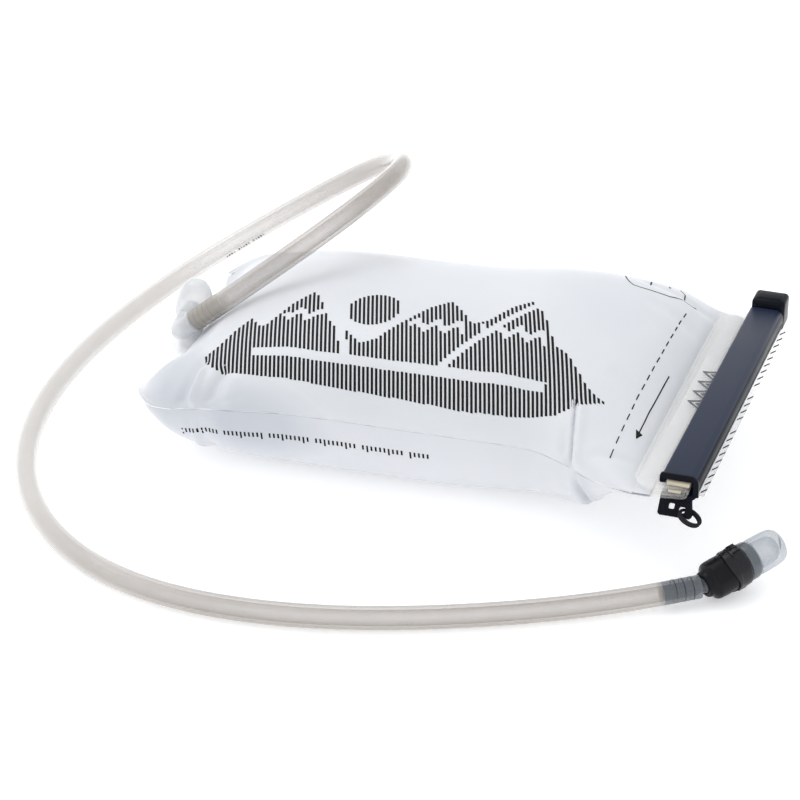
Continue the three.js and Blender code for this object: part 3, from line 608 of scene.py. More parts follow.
def film_relief(P, U, front, n_bag):
    """How far the film stands in (-) or out (+) of the smooth bag."""
    x, y = P[..., 0], P[..., 1]
    h = np.zeros(x.shape)
    bag = np.clip((136 - x) / 10, 0, 1) * (np.arange(P.shape[0])[:, None] < n_bag)
    if front:
        # slack film at the near bottom corner: a tall soft fold and two furrows
        h += crease(P, (-67.0, -98), (-63, -80), 3.2, -2.0, taper=0.5)
        h += crease(P, (-60.2, -98), (-58.2, -85), 1.6, 2.6, taper=0.45)
        h += crease(P, (-54.0, -98), (-50, -88), 3.2, -2.8, taper=0.45)
        h += crease(P, (-44, -97), (-41, -90), 3.0, 0.8)
        # the puffed near corner
        h += 4.6 * np.exp(-((x + 80) / 10) ** 2 - ((y + 74) / 12) ** 2)
        h += crease(P, (-72, -99), (-40, -94), 1.6, 0.7)
        h += crease(P, (-74, -82), (-64, -52), 3.0, 0.7)
        h += crease(P, (-82, -70), (-70, -34), 4.0, -0.9)
        # folds that run in from the mouth
        h += crease(P, (106.5, -101), (101.8, -78), 0.55, -1.5, taper=0.15)
        h += crease(P, (105.2, -101), (100.4, -80), 1.1, 0.35)
        h += crease(P, (108.8, -101), (104.4, -80), 2.2, 1.2)
        h += crease(P, (100, -99), (98.4, -84), 2.8, 0.5)
        h += crease(P, (133, -92), (116, -97), 1.8, -0.7)
        h += crease(P, (133, 44), (104, 34), 2.4, -0.8)
        h += crease(P, (132, 20), (110, 14), 4.5, -0.5)
        h += crease(P, (131, -58), (112, -52), 5.0, -0.5)
        h += crease(P, (132, -20), (114, -16), 5.5, 0.35)
        h += crease(P, (-90, 26), (-62, 34), 2.6, -0.9)
        h += crease(P, (-88, 2), (-66, 8), 3.6, -0.7)
    else:
        side = np.clip((-0.55 - U) / 0.3, 0, 1) * np.clip(P[..., 2] / 8, 0, 1)
        xf = 106.5 + 0.33 * (38 - P[..., 2])
        h += side * (-1.7 * bell(x - xf, 1.3) + 1.0 * bell(x - xf + 3.4, 2.4) + 0.5 * bell(x - xf - 3.2, 1.8))
        xl = -55.0 - 0.10 * (36 - P[..., 2])
        h += side * (1.0 * bell(x - xl + 3.0, 1.8) - 1.2 * bell(x - xl - 2.4, 3.0))
        h += crease(P, (-60, -98), (-50, -70), 3.0, -0.8)
        h += crease(P, (122, -105), (100, -88), 2.4, -1.2)
        h += crease(P, (112, -104), (96, -96), 2.2, 0.8)
    # puckers along the side seams
    edge = np.exp(-((1 - np.abs(U)) / 0.06))
    pk = np.sin(x * 2 * math.pi / 9.5 + 1.3 * np.sin(x / 17.0)) * 0.10 + np.sin(x * 2 * math.pi / 5.3 + 2) * 0.04
    h += edge * pk * bag * (np.abs(x - 20) < 112)
    h += wave_noise(P, 3 if front else 4, 60, 3) * 0.22
    lim = np.minimum(1, (1 - np.abs(U)) / 0.012 + 0.15)
    return h * bag * lim


def film_outer(front):
    G, n_bag = film_grid(front)
    N = normals(G, front)
    O = G + N * FILM_T
    U = np.broadcast_to(UCOL, O.shape[:2])
    h = film_relief(O, U, front, n_bag)
    O = O + N * h[..., None]
    O[..., 2] = np.maximum(O[..., 2], 0.0)
    return O, N, n_bag


def film_piece(name, front, mat, node, thick=0.45):
    O, N, n_bag = film_outer(front)
    I = O - N * thick
    n, m = O.shape[:2]
    V = np.vstack([O.reshape(-1, 3), I.reshape(-1, 3)])
    k = n * m
    F = grid_faces(n, m, 0) + grid_faces(n, m, k, flip=True)
    lip = np.zeros((n - 1, m - 1), int)
    lip[n_bag + 1:, :] = 1
    border = [i * m for i in range(n)] + [(n - 1) * m + j for j in range(1, m)] + [i * m + m - 1 for i in range(n - 2, -1, -1)] + [j for j in range(m - 2, 0, -1)]
    fm_ = list(lip.ravel()) * 2
    for a, b in zip(border, border[1:] + border[:1]):
        F.append((a, b, k + b, k + a))
        fm_.append(1 if a // m > n_bag else 0)
    ob = make(name, V, F, [mat, MAT_FLAP], "reservoir", [node], angle=60, face_mats=fm_)
    return fix_normals(ob), O, N, n_bag


front_ob, FO, FN, NB = film_piece("front_film", True, MAT_FILM, "front_film_panel")
back_ob, BO, BN, _ = film_piece("back_film", False, MAT_FILM_BACK, "back_film_panel")

# --------------------------------------------------------------------------
# Weld fin along the side seams and the bottom weld
# --------------------------------------------------------------------------


def weld_fin():
    xs = np.concatenate([np.linspace(134.0, 60, 60), np.linspace(60, -60, 70)[1:], np.linspace(-60, -91, 50)[1:]])
    near = bag_inner(xs, -1.0, True)
    end = bag_inner(-91.0, -np.cos(np.linspace(0, math.pi, 60))[1:-1], True)
    far = bag_inner(xs[::-1], 1.0, True)
    P = np.vstack([near, end, far])
    P[:, 2] -= SEAM_GAP / 2
    seg = np.linalg.norm(np.diff(P, axis=0), axis=1)
    arc = np.concatenate([[0], np.cumsum(seg)])
    S = np.arange(0, arc[-1], 1.1)
    P = np.stack([np.interp(S, arc, P[:, k]) for k in range(3)], 1)
    T = np.gradient(P, axis=0)
    D = np.stack([T[:, 1], -T[:, 0], 0 * T[:, 0]], 1)
    D = -D / np.linalg.norm(D, axis=1)[:, None]
    cen = np.array([20, -28, 0.0])
    flip = np.sign(((P - cen) * D).sum(1))
    D *= flip[:, None]
    for _ in range(8):
        D[1:-1] = (D[:-2] + 2 * D[1:-1] + D[2:]) / 4
    D /= np.linalg.norm(D, axis=1)[:, None]
    x = P[:, 0]
    w = 0.5 + 1.5 * np.clip((-66 - x) / 22, 0, 1) ** 1.3
    w *= np.clip((134.2 - x) / 10, 0.05, 1)
    ripple = 0.25 * np.sin(S / 3.1) + 0.18 * np.sin(S / 1.7 + 1)
    droop = -0.25 * np.clip((-66 - x) / 22, 0, 1)
    sect = [(-0.9, 0.22), (-0.9, -0.22), (0.35, -0.24), (0.72, -0.22), (0.97, -0.17), (1.0, 0.0), (0.97, 0.17), (0.72, 0.22), (0.35, 0.24)]
    V = []
    for a, b in sect:
        along_ = np.where(a < 0, a, a * w)
        z = b + (droop * a + ripple * 0.35 * a) * (a > 0)
        q = P + D * along_[:, None]
        q[:, 2] = np.maximum(q[:, 2] + z, 0.2)
        V.append(q)
    V = np.stack(V, 1)
    n, m = V.shape[:2]
    F = grid_faces(n, m, wrap=True)
    F.append(tuple(range(m))[::-1])
    F.append(tuple((n - 1) * m + k for k in range(m)))
    return fix_normals(make("weld_fin", V.reshape(-1, 3), F, MAT_WELD, "reservoir", angle=50))


weld_fin()

# --------------------------------------------------------------------------
# Prints: thin closed ribbons lying on the film
# --------------------------------------------------------------------------


class OnFilm:
    """Points on the outside of a film panel, by x and y."""

    def __init__(self, O, N):
        self.O, self.N = O[:NB], N[:NB]

    def at(self, x, y=None, u=None, lift=0.0):
        x = np.asarray(x, float)
        if u is None:
            yN, yF = monotone(x, 1), monotone(x, 2)
            u = (np.asarray(y, float) - (yN + yF) / 2) / ((yF - yN) / 2 - FILM_T)
        u = np.clip(u, -0.9999, 0.9999)
        fi = np.interp(x, XBAG, np.arange(len(XBAG)))
        fj = np.arccos(-u) / math.pi * (NU - 1)
        i, j = np.minimum(fi.astype(int), len(XBAG) - 2), np.minimum(fj.astype(int), NU - 2)
        a, b = (fi - i)[..., None], (fj - j)[..., None]

        def mixg(G):
            return (G[i, j] * (1 - a) * (1 - b) + G[i + 1, j] * a * (1 - b) + G[i, j + 1] * (1 - a) * b + G[i + 1, j + 1] * a * b)
        n = mixg(self.N)
        n /= np.linalg.norm(n, axis=-1)[..., None]
        return mixg(self.O) + n * lift, n


FRONT = OnFilm(FO, FN)
BACK = OnFilm(BO, BN)
LIFT, DIP = 0.07, -0.12


class Ink:
    """Collects printed strips of one colour into one mesh."""

    def __init__(self):
        self.V, self.F = [], []

    def strip(self, left, right, side=FRONT, u=None):
        """A closed ribbon between two lines of (x, y) points."""
        L, R = np.asarray(left, float), np.asarray(right, float)
        tops = [side.at(A[:, 0], A[:, 1], lift=LIFT)[0] for A in (L, R)]
        lows = [side.at(A[:, 0], A[:, 1], lift=DIP)[0] for A in (L, R)]
        ring = np.stack([tops[0], tops[1], lows[1], lows[0]], 1)
        n = len(L)
        base = sum(len(v) for v in self.V)
        self.V.append(ring.reshape(-1, 3))
        self.F += grid_faces(n, 4, base=base, wrap=True)
        self.F.append(tuple(base + k for k in range(4)))
        self.F.append(tuple(base + (n - 1) * 4 + k for k in range(4))[::-1])

    def line(self, pts, width, side=FRONT, step=1.2):
        P = np.asarray(pts, float)
        seg = np.linalg.norm(np.diff(P, axis=0), axis=1)
        arc = np.concatenate([[0], np.cumsum(seg)])
        n = max(2, int(arc[-1] / step) + 1)
        S = np.linspace(0, arc[-1], n)
        Q = np.stack([np.interp(S, arc, P[:, k]) for k in (0, 1)], 1)
        T = np.gradient(Q, axis=0)
        T /= np.linalg.norm(T, axis=1)[:, None]
        D = np.stack([-T[:, 1], T[:, 0]], 1) * width / 2
        self.strip(Q + D, Q - D, side)

    def make(self, name, mat, body="reservoir", slot="film_clear"):
        return fix_normals(make(name, np.vstack(self.V), self.F, mat, body, smooth=False))


# Hatched ridge line: peaks with snow lines, and a sun
SKEW = -0.344
PEAKS = [(-63, 0.02), (-55, 0.36), (-50, 0.56), (-46, 0.66), (-41, 0.52), (-37, 0.50), (-29, 0.80), (-22, 1.0), (-15, 0.80), (-9, 0.58), (-5, 0.62), (1, 0.47),
         (8, 0.36), (14, 0.42), (22, 0.66), (30, 0.90), (37, 1.02), (44, 0.86), (50, 0.70), (56, 0.76), (63, 0.98), (70, 1.10), (78, 0.88), (86, 0.60), (92, 0.56), (99, 0.40), (106, 0.22), (113, 0.02)]
PX = np.array([p[0] for p in PEAKS], float)
PT = np.array([p[1] for p in PEAKS], float)
NEAR_X, NEAR_Y = [-63, -56, -48, -30, 0, 60, 80, 96, 113], [-74, -82, -87.0, -89.4, -90.2, -89.2, -87.4, -85, -71]
FAR_X, FAR_Y = [-63, -52, -30, -8, 24, 74, 98, 113], [-52, -41, -43, -47, -44, -34, -33, -52]


def t_of(x, y):
    yn, yf = np.interp(x, NEAR_X, NEAR_Y), np.interp(x, FAR_X, FAR_Y)
    return (y - yn) / (yf - yn)


def printed(x, y):
    t = t_of(x, y)
    top = np.interp(x, PX, PT)
    hit = (t >= 0.0) & (t <= top)
    # snow line: a bright zigzag band a little below the tall peaks
    zig = 0.045 * np.sin(x * 2 * math.pi / 8.5)
    snow = (top > 0.74) & (t > 0.60 + zig) & (t < 0.685 + zig)
    # two bright valleys that divide the ridges
    v1 = np.abs(x - (-3 + 26 * (0.5 - t))) < 1.9
    v2 = np.abs(x - (52 - 34 * (0.45 - t))) < 1.9
    lake = (t > 0.16) & (t < 0.235) & (x > -38) & (x < 88)
    hit &= ~snow & ~(v1 & (t > 0.235)) & ~(v2 & (t > 0.235)) & ~lake
    sun = ((x - 7.5) / 11.0) ** 2 + ((t - 0.80) / 0.235) ** 2 < 1
    return hit | sun


ink = Ink()
PITCH, BAR = 1.86, 1.08
Y0H = -66.0
for k in range(-46, 76):
    xk = k * PITCH + 20
    ys = np.arange(-94.0, -26.0, 0.25)
    xs = xk + SKEW * (ys - Y0H)
    inside = printed(xs, ys) & (xs > -63) & (xs < 113)
    edges_ = np.flatnonzero(np.diff(np.concatenate([[0], inside.astype(int), [0]])))
    for a, b in zip(edges_[::2], edges_[1::2]):
        if b - a < 4:
            continue
        yy = np.linspace(ys[a], ys[b - 1], max(2, int((ys[b - 1] - ys[a]) / 0.8) + 1))
        xx = xk + SKEW * (yy - Y0H)
        ink.strip(np.stack([xx - BAR / 2, yy], 1), np.stack([xx + BAR / 2, yy], 1))
ink.make("print_ridge_motif", MAT_INK)

ink = Ink()
# fill line: dashes across the bag near the mouth, and the slide arrow
y = 27.0
while y > -93:
    ink.line([(121.4, y), (121.4, y - 4.4)], 0.42)
    y -= 7.9
ink.line([(127.0, -25), (127.0, -73.5)], 0.42)
ink.strip([(125.6, -73.2), (126.9, -78.2)], [(128.4, -73.2), (127.1, -78.2)])
# volume scale: outline and ticks
ink.line([(93.0, 31.0), (95, 25.6), (97, 22.4), (99.2, 20.4), (102.5, 21.8), (106, 24.0), (110, 26.8), (113.4, 29.6), (115.6, 33), (117.6, 36.0), (119.8, 37.2), (121.6, 38.2), (123.2, 40.6)], 0.55, step=0.8)
ink.line([(114.4, 45.4), (117.0, 43.2), (118.2, 38.9)], 0.5, step=0.8)
ink.line([(103.2, 37.6), (104.0, 33.4)], 0.65)
ink.line([(110.2, 42.4), (110.9, 40.2)], 0.65)
ink.make("print_fill_line", MAT_INK)


# plain rule of short bars along the near flank, below the seam
def flank(x, drop):
    """(x, u) on the back film, drop millimetres below the near seam."""
    us = -np.cos(np.linspace(0, 0.9, 160))
    P, _ = BACK.at(np.full(160, x), u=us)
    d = P[0, 2] - P[:, 2]
    return np.interp(drop, d, us)


rule_V, rule_F = [], []


def flank_bar(x0, x1, d0, d1, lean=0.0):
    """A printed bar on the near flank between two depths below the seam."""
    cor = []
    n = max(2, int(abs(x1 - x0) / 1.5) + 2)
    X = np.linspace(x0, x1, n)
    rows_ = []
    for d, sh in ((d0, 0.0), (d1, lean)):
        us = np.array([flank(x, d) for x in X])
        t, _ = BACK.at(X + sh, u=us, lift=LIFT)
        l, _ = BACK.at(X + sh, u=us, lift=DIP)
        rows_.append((t, l))
    ring = np.stack([rows_[0][0], rows_[1][0], rows_[1][1], rows_[0][1]], 1)
    base = sum(len(v) for v in rule_V)
    rule_V.append(ring.reshape(-1, 3))
    rule_F.extend(grid_faces(n, 4, base=base, wrap=True))
    rule_F.append(tuple(base + k for k in range(4)))
    rule_F.append(tuple(base + (n - 1) * 4 + k for k in range(4))[::-1])


x = -66.0
k = 0
while x < 45.0:
    if k % 11 != 10:
        flank_bar(x, x + 0.8, 8.6, 8.6 + (2.3 if k % 5 else 3.4))
    x += 1.85
    k += 1
fix_normals(make("print_flank_rule", np.vstack(rule_V), rule_F, MAT_INK, "reservoir", smooth=False))

# grey peaks printed on the folded-over flap
FLAP_TOP = 38.7 + 1.75 + 0.7
ink = Ink()
gv, gf = [], []


def flap_bar(p, q, w):
    """A printed bar on the flap between two (x, y) points."""
    p, q = np.array(p, float), np.array(q, float)
    d = (q - p) / np.linalg.norm(q - p)
    m = np.array([-d[1], d[0]]) * w / 2
    p, q = p - d * w * 0.3, q + d * w * 0.3
    base = sum(len(v) for v in gv)
    v = []
    for t in np.linspace(0, 1, 5):
        c = p + (q - p) * t
        for xy, dz in ((c + m, 0.06), (c - m, 0.06), (c - m, -0.15), (c + m, -0.15)):
            v.append((xy[0], xy[1], FLAP_TOP + float(flap_lift(xy[0], xy[1])) + dz))
    gv.append(np.array(v))
    gf.extend(grid_faces(5, 4, base=base, wrap=True))
    gf.append(tuple(base + k for k in range(4)))
    gf.append(tuple(base + 16 + k for k in range(4))[::-1])


# a row of small peaks, half under the slide's lip
for c in (-9.5, -18.5, -27.5, -36.5):
    flap_bar((144.0, c + 3.6), (139.0, c), 1.05)
    flap_bar((139.0, c), (144.0, c - 3.6), 1.05)
    flap_bar((144.2, c + 1.3), (142.3, c), 0.8)
    flap_bar((142.3, c), (144.2, c - 1.3), 0.8)
fix_normals(make("print_flap_peaks", np.vstack(gv), gf, MAT_INK_GREY, "reservoir", smooth=False))

# --------------------------------------------------------------------------
# Slide closure
# --------------------------------------------------------------------------
from mathutils.geometry import tessellate_polygon


def extrude(loops, depth, place):
    """Plate with holes: loops of 2D points, first the outline; place maps
    (a, b, t) rows to drawing millimetres."""
    tri = tessellate_polygon([[Vector((p[0], p[1], 0)) for p in loop] for loop in loops])
    flat = np.array([p for loop in loops for p in loop], float)
    n = len(flat)
    V = np.vstack([np.column_stack([flat, np.zeros(n)]), np.column_stack([flat, np.full(n, depth)])])
    F = [tuple(t) for t in tri] + [tuple(n + i for i in t)[::-1] for t in tri]
    base = 0
    for loop in loops:
        m = len(loop)
        for i in range(m):
            a, b = base + i, base + (i + 1) % m
            F.append((a, b, n + b, n + a))
        base += m
    return place(V), F


def xz_prism(outline, y0, y1):
    def place(V):
        return np.stack([V[:, 0], y0 + V[:, 2], V[:, 1]], 1)
    return extrude([outline], y1 - y0, place)


def arc_pts(cx, cz, r, a0, a1, n=10):
    return [(cx + r * math.cos(a0 + (a1 - a0) * i / n), cz + r * math.sin(a0 + (a1 - a0) * i / n)) for i in range(n + 1)]


SX0, SX1, SZ0, SZ1 = 144.6, 159.4, 34.5, 45.0
SY0, SY1, LIPZ, WALL = -104.5, 53.0, 41.4, 1.5


def finish(ob, width=0.25, segments=2, angle=40):
    """Eases the sharp edges of a moulding."""
    import bmesh
    bm = bmesh.new()
    bm.from_mesh(ob.data)
    bmesh.ops.recalc_face_normals(bm, faces=bm.faces)
    bmesh.ops.dissolve_limit(bm, angle_limit=0.002, verts=bm.verts, edges=bm.edges)
    sharp = [e for e in bm.edges if len(e.link_faces) == 2 and e.calc_face_angle(0) > math.radians(angle)]
    bmesh.ops.bevel(bm, geom=sharp, offset=width / 1000, segments=segments, profile=0.6, affect="EDGES", clamp_overlap=True)
    bmesh.ops.recalc_face_normals(bm, faces=bm.faces)
    bm.to_mesh(ob.data)
    bm.free()
    ob.data.polygons.foreach_set("use_smooth", [True] * len(ob.data.polygons))
    ob.data.set_sharp_from_angle(angle=math.radians(35))
    return ob


half = math.pi / 2
R = 3.6
outer = [(SX0 + 0.5, SZ0)] + arc_pts(SX1 - R, SZ0 + R, R, -half, 0, 14) + arc_pts(SX1 - R, SZ1 - R, R, 0, half, 14) + arc_pts(SX0 + 1.3, SZ1 - 1.3, 1.3, half, math.pi, 6) + [(SX0, LIPZ)]
inner = [(SX0 + 2.0, LIPZ), (SX0 + 2.0, SZ1 - 1.9)] + arc_pts(SX1 - 2.9, SZ1 - 2.8, 0.9, half, 0, 5) + arc_pts(SX1 - 2.9, SZ0 + WALL + 0.9, 0.9, 0, -half, 5) + [(SX0, SZ0 + WALL), (SX0, SZ0 + 0.5)]
V, F = xz_prism(outer + inner, SY0, SY1)
channel = finish(make("slide_channel", V, F, [MAT_SLIDER, MAT_SLIDER_SHADED_SIDE], "slider", ["slider_channel"], smooth=False), 0.22)
# faces turned from the light (back wall, underside, ends) take the darker copy: painted shade
for poly in channel.data.polygons:
    poly.material_index = 1 if poly.normal.x > 0.80 or poly.normal.z < -0.3 or abs(poly.normal.y) > 0.8 else 0

# raised rim round the open end
rim = [(SX0 - 0.6, LIPZ), (SX0 + 1.9, LIPZ), (SX0 + 1.9, SZ1 - 1.8), (SX1 - 1.9, SZ1 - 1.8), (SX1 - 1.9, SZ0 + 2.2), (SX1 + 0.5, SZ0 + 2.2)] + arc_pts(SX1 + 0.5 - 3.8, SZ1 + 0.7 - 3.8, 3.8, 0, half, 14) + [(SX0 + 0.7, SZ1 + 0.7), (SX0 - 0.2, SZ1 + 0.3), (SX0 - 0.6, SZ1 - 0.6)]
V, F = xz_prism(rim, SY0 - 0.7, SY0 + 0.8)
finish(make("slide_rim", V, F, MAT_CAP, "slider", smooth=False), 0.3, 3)

# a shallow rib along the slide's back, low down, where the mould parts
V, F = xz_prism([(SX1 - 0.25, SZ0 + 3.9), (SX1 + 0.18, SZ0 + 4.0), (SX1 + 0.18, SZ0 + 4.5), (SX1 - 0.25, SZ0 + 4.6)], SY0 + 2, SY1 - 0.4)
finish(make("slide_back_rib", V, F, MAT_CAP, "slider", smooth=False), 0.1, 1)

# closed end
import bmesh


def rounded_box(name, lo, hi, r, mat, body, replaces=(), segs=5, taper=None):
    bm = bmesh.new()
    bmesh.ops.create_cube(bm, size=1.0)
    lo, hi = np.array(lo, float), np.array(hi, float)
    for v in bm.verts:
        c = np.array([0.5, 0.5, 0.5]) + np.array(v.co)
        p = lo + (hi - lo) * c
        if taper:
            p = taper(p)
        v.co = Vector(p)
    bmesh.ops.bevel(bm, geom=list(bm.edges), offset=r, segments=segs, profile=0.5, affect="EDGES", clamp_overlap=True)
    bm.verts.ensure_lookup_table()
    V = np.array([tuple(v.co) for v in bm.verts])
    F = [tuple(v.index for v in f.verts) for f in bm.faces]
    bm.verts.index_update()
    F = [tuple(v.index for v in f.verts) for f in bm.faces]
    bm.free()
    return fix_normals(make(name, V, F, mat, body, replaces, angle=50))


def cap_taper(p):
    p = p.copy()
    if p[2] > 42 and p[1] < 60:
        p[1] += 1.6          # front face leans back
    return p


rounded_box("slide_end_cap", (144.6, 53.0, 34.5), (159.4, 66.0, 48.1), 1.9, MAT_CAP, "slider", ["slider_end_cap"], taper=cap_taper)
rounded_box("slide_end_grip", (146.6, 56.4, 47.2), (157.4, 63.6, 48.45), 0.55, MAT_CAP, "slider", segs=3)

# tongue with the hang hole and the tether eye
DROP = np.array([-5.6, -6.6])
TLEN = float(np.hypot(*DROP))
cyt, czt = 5.6 / TLEN, 6.6 / TLEN


def tongue_place(V):
    # a across, b down the slope, t through the plate
    return np.stack([V[:, 0], SY0 + 0.5 - cyt * V[:, 1] + czt * V[:, 2] * -1 * -1, SZ0 + WALL - czt * V[:, 1] - cyt * V[:, 2]], 1)


def square(cx, cy, h, r=0.3):
    return [(cx - h, cy - h + r), (cx - h, cy + h - r), (cx - h + r, cy + h), (cx + h - r, cy + h), (cx + h, cy + h - r), (cx + h, cy - h + r), (cx + h - r, cy - h), (cx - h + r, cy - h)]


tongue_outline = [(SX0, 0), (SX1 - 2.2, 0), (SX1 - 0.8, TLEN - 2), (SX1 - 1.1, TLEN - 0.8), (SX1 - 1.9, TLEN), (SX0 + 1.0, TLEN), (SX0 + 0.3, TLEN - 0.3), (SX0, TLEN - 1.0)]
V, F = extrude([tongue_outline, square(SX0 + 5.2, TLEN - 4.2, 1.15), square(SX0 + 9.6, TLEN - 3.2, 1.25, 0.5)], WALL, tongue_place)
finish(make("slide_tongue", V, F, MAT_CAP, "slider", smooth=False), 0.22, 2)

# tether: a thin cord doubled through the eye and knotted
EYE = np.array([SX0 + 9.6, SY0 + 0.5 - (TLEN - 3.2) * cyt + 0.75 * czt, SZ0 + WALL - (TLEN - 3.2) * czt - 0.75 * cyt])
hang = np.array([0.80, -0.45, -0.40])
hang /= np.linalg.norm(hang)
side_ = np.cross(hang, [0, 0, 1.0])
side_ /= np.linalg.norm(side_)
upv = np.cross(side_, hang)


cord_pts = []
for t in np.linspace(0, 1, 44):
    q = math.pi - t * 3.75 * math.pi
    cord_pts.append(EYE + hang * (4.2 + 4.5 * math.cos(q) + 0.7 * t) + side_ * (3.5 * math.sin(q) + 0.5 * t) + upv * (-1.0 + 2.7 * t + 0.5 * math.sin(q + 0.6)))
tether_line = spline(cord_pts, 4)
TETHER_D = 1.3
V, F = tube(tether_line, TETHER_D / 2, 14)
tether = fix_normals(make("tether_cord", V, F, MAT_CORD, "slider", ["tether_loop"], angle=60))

# rails in the folded mouth
rounded_box("rail_upper", (147.3, -106.5, 41.3), (156.4, 49.5, 42.8), 0.35, MAT_RAIL, "reservoir", ["upper_rail"], segs=3)
rounded_box("rail_inner", (148.0, -106.5, 38.05), (153.0, 49.5, 39.35), 0.3, MAT_RAIL, "reservoir", ["inner_rail"], segs=3)

# header strip: a loose strip of film below the slide, with a plain hatch
hs = [(136.3, 35.1), (140.3, 35.1), (143.3, 33.5), (160.4, 33.1), (160.55, 33.4), (160.4, 33.7), (143.6, 34.1), (140.6, 35.6), (136.3, 35.6)]
V, F = xz_prism(hs, -97, 60)
header_ob = finish(make("header_film", V, F, MAT_FLAP, "reservoir", ["header_strip"], smooth=False), 0.08, 1)
hv_, hf_ = [], []
yy = -95.5
k = 0
while yy < 57:
    if k not in (9, 14):
        base = sum(len(v) for v in hv_)
        z0, z1 = 33.62, 33.78
        hv_.append(np.array([(x_, y_, z_) for z_ in (z0, z1) for x_, y_ in ((158.6, yy), (160.44, yy + 3.2), (160.44, yy + 4.4), (158.6, yy + 1.2))]))
        hf_ += [(base, base + 1, base + 2, base + 3), (base + 7, base + 6, base + 5, base + 4)] + [(base + i, base + (i + 1) % 4, base + 4 + (i + 1) % 4, base + 4 + i) for i in range(4)]
    yy += 6.4
    k += 1
fix_normals(make("print_header_hatch", np.vstack(hv_), hf_, MAT_INK, "reservoir", smooth=False))

# --------------------------------------------------------------------------
# Drink port: boot, O-ring, elbow with its barb in the hose
# --------------------------------------------------------------------------
PORT_TOP = np.array([-84, -27.3, 58.5])
PORT_DIR = np.array([0.15, 0, 1.0]) / math.hypot(0.15, 1)
PORT_FOOT = PORT_TOP - PORT_DIR * 40


def rounded_lathe(name, profile, at, direction, mat, body, replaces=(), closed=False, r=0.35, n=72, radius=None, angle=40):
    V, F = lathe(bevel_profile(profile, r, 3, closed), at, direction, n, closed, radius)
    return fix_normals(make(name, V, F, mat, body, replaces, angle=angle))


boot = [(5.1, 0), (6.8, 0), (6.8, 1.5), (7.8, 4.5), (8.7, 7.5), (9.0, 10.5), (8.5, 13.5), (7.4, 15.8), (6.4, 17.2), (6.3, 17.8), (5.1, 17.8)]
rounded_lathe("port_boot_moulding", boot, PORT_FOOT, PORT_DIR, MAT_BOOT, "reservoir", ["port_boot"], closed=True, r=0.9)
a = np.linspace(0, 2 * math.pi, 25)[:-1]
rounded_lathe("port_seal", [(4.35 + 0.36 * math.cos(q), 8.2 + 0.36 * math.sin(q)) for q in a], PORT_FOOT, PORT_DIR, MAT_RUBBER, "reservoir", ["port_oring"], closed=True, r=0.01)
head = [(0, 3), (4.1, 3), (4.6, 3.6), (4.6, 7.2), (3.7, 7.2), (3.7, 9.2), (4.6, 9.2), (4.6, 18.1), (5.9, 18.1), (6.1, 19.6), (6.9, 21.2), (7.7, 22.3), (8.2, 23.6), (8.25, 26), (8.0, 29.5), (7.3, 33), (6.0, 36.3), (4.0, 38.9), (1.8, 39.85), (0, 40)]
rounded_lathe("port_elbow_head", head, PORT_FOOT, PORT_DIR, MAT_ELBOW, "reservoir", ["port_elbow"], r=0.6)
H0 = np.array(HOSE[0])
HD = np.array([0.775, 0.05, 0.63])
HD /= np.linalg.norm(HD)
on_axis = PORT_FOOT + PORT_DIR * 26
tail0 = H0 - HD * 9
arm = spline([on_axis, (on_axis + tail0) / 2 + np.array([-0.6, -1.5, -0.4]), tail0, H0 - HD * 5, H0 - HD * 0.4], 6)
V, F = tube(arm, 4.3, 40)
fix_normals(make("port_elbow_arm", V, F, MAT_ELBOW, "reservoir", angle=50))
BARB = [(0, 0), (5.3, 0), (5.3, 1.5), (2.9, 1.5), (2.9, 4.4), (3.15, 4.5), (2.75, 7.4), (2.75, 7.9), (3.15, 8.0), (2.75, 10.9), (2.75, 11.4), (3.15, 11.5), (2.75, 14.4), (2.75, 14.8), (3.1, 14.9), (2.5, 18.0), (0, 18.0)]
rounded_lathe("port_elbow_barb", BARB, H0 - HD * 1.9, HD, MAT_ELBOW, "reservoir", r=0.18)
# rings where the barbs stretch the hose
# each swell ring is tinted darker than the hose: painted shade along the swell
for s_, dr in ((2.6, 0.10), (5.4, 0.12), (8.2, 0.12), (11.0, 0.12), (13.8, 0.10)):
    c = [(4.69 + dr * math.cos(q), s_ + 0.28 * math.sin(q)) for q in a]
    rounded_lathe("hose_swell_%d" % int(s_ * 10), c, H0, HD, MAT_BARB_LINE, "reservoir", closed=True, r=0.01, n=48)

# --------------------------------------------------------------------------
# Bite valve
# --------------------------------------------------------------------------
VP = np.array([167.1, -121.8, 7.7])
VD = np.array([0.628, 0.748, 0.215])
VD /= np.linalg.norm(VD)
HE = np.array(HOSE[-1])
HO = np.array(HOSE[-1]) - np.array(HOSE[-2])
HO /= np.linalg.norm(HO)

TAIL = [(0, -1.2), (2.6, -1.2), (2.6, 3.6), (3.15, 3.7), (2.95, 6.6), (2.8, 6.7), (2.8, 7.3), (3.15, 7.4), (2.95, 10.2), (2.8, 10.3), (2.8, 10.9), (3.12, 11.0), (2.9, 15.2), (2.3, 16.2), (0, 16.2)]
rounded_lathe("valve_stem_tail", TAIL, HE + HO * 0.6, -HO, MAT_SMOKE, "reservoir", ["valve_stem"], r=0.12)
NECK = [(0, -0.6), (2.6, -0.6), (3.3, 0.3), (3.3, 4.2), (5.9, 4.4), (5.9, 5.4), (0, 5.4)]
rounded_lathe("valve_stem_neck", NECK, VP, VD, MAT_SMOKE, "reservoir", r=0.2)
# dark rings where the stem's barbs stretch the hose: painted shade along each swell
for s_, dr in ((3.4, 0.12), (7.0, 0.13), (10.4, 0.12)):
    c = [(4.69 + dr * math.cos(q), s_ + 0.22 * math.sin(q)) for q in a]
    rounded_lathe("valve_swell_%d" % int(s_ * 10), c, HE, -HO, MAT_STEM_LINE, "reservoir", closed=True, r=0.01, n=48)
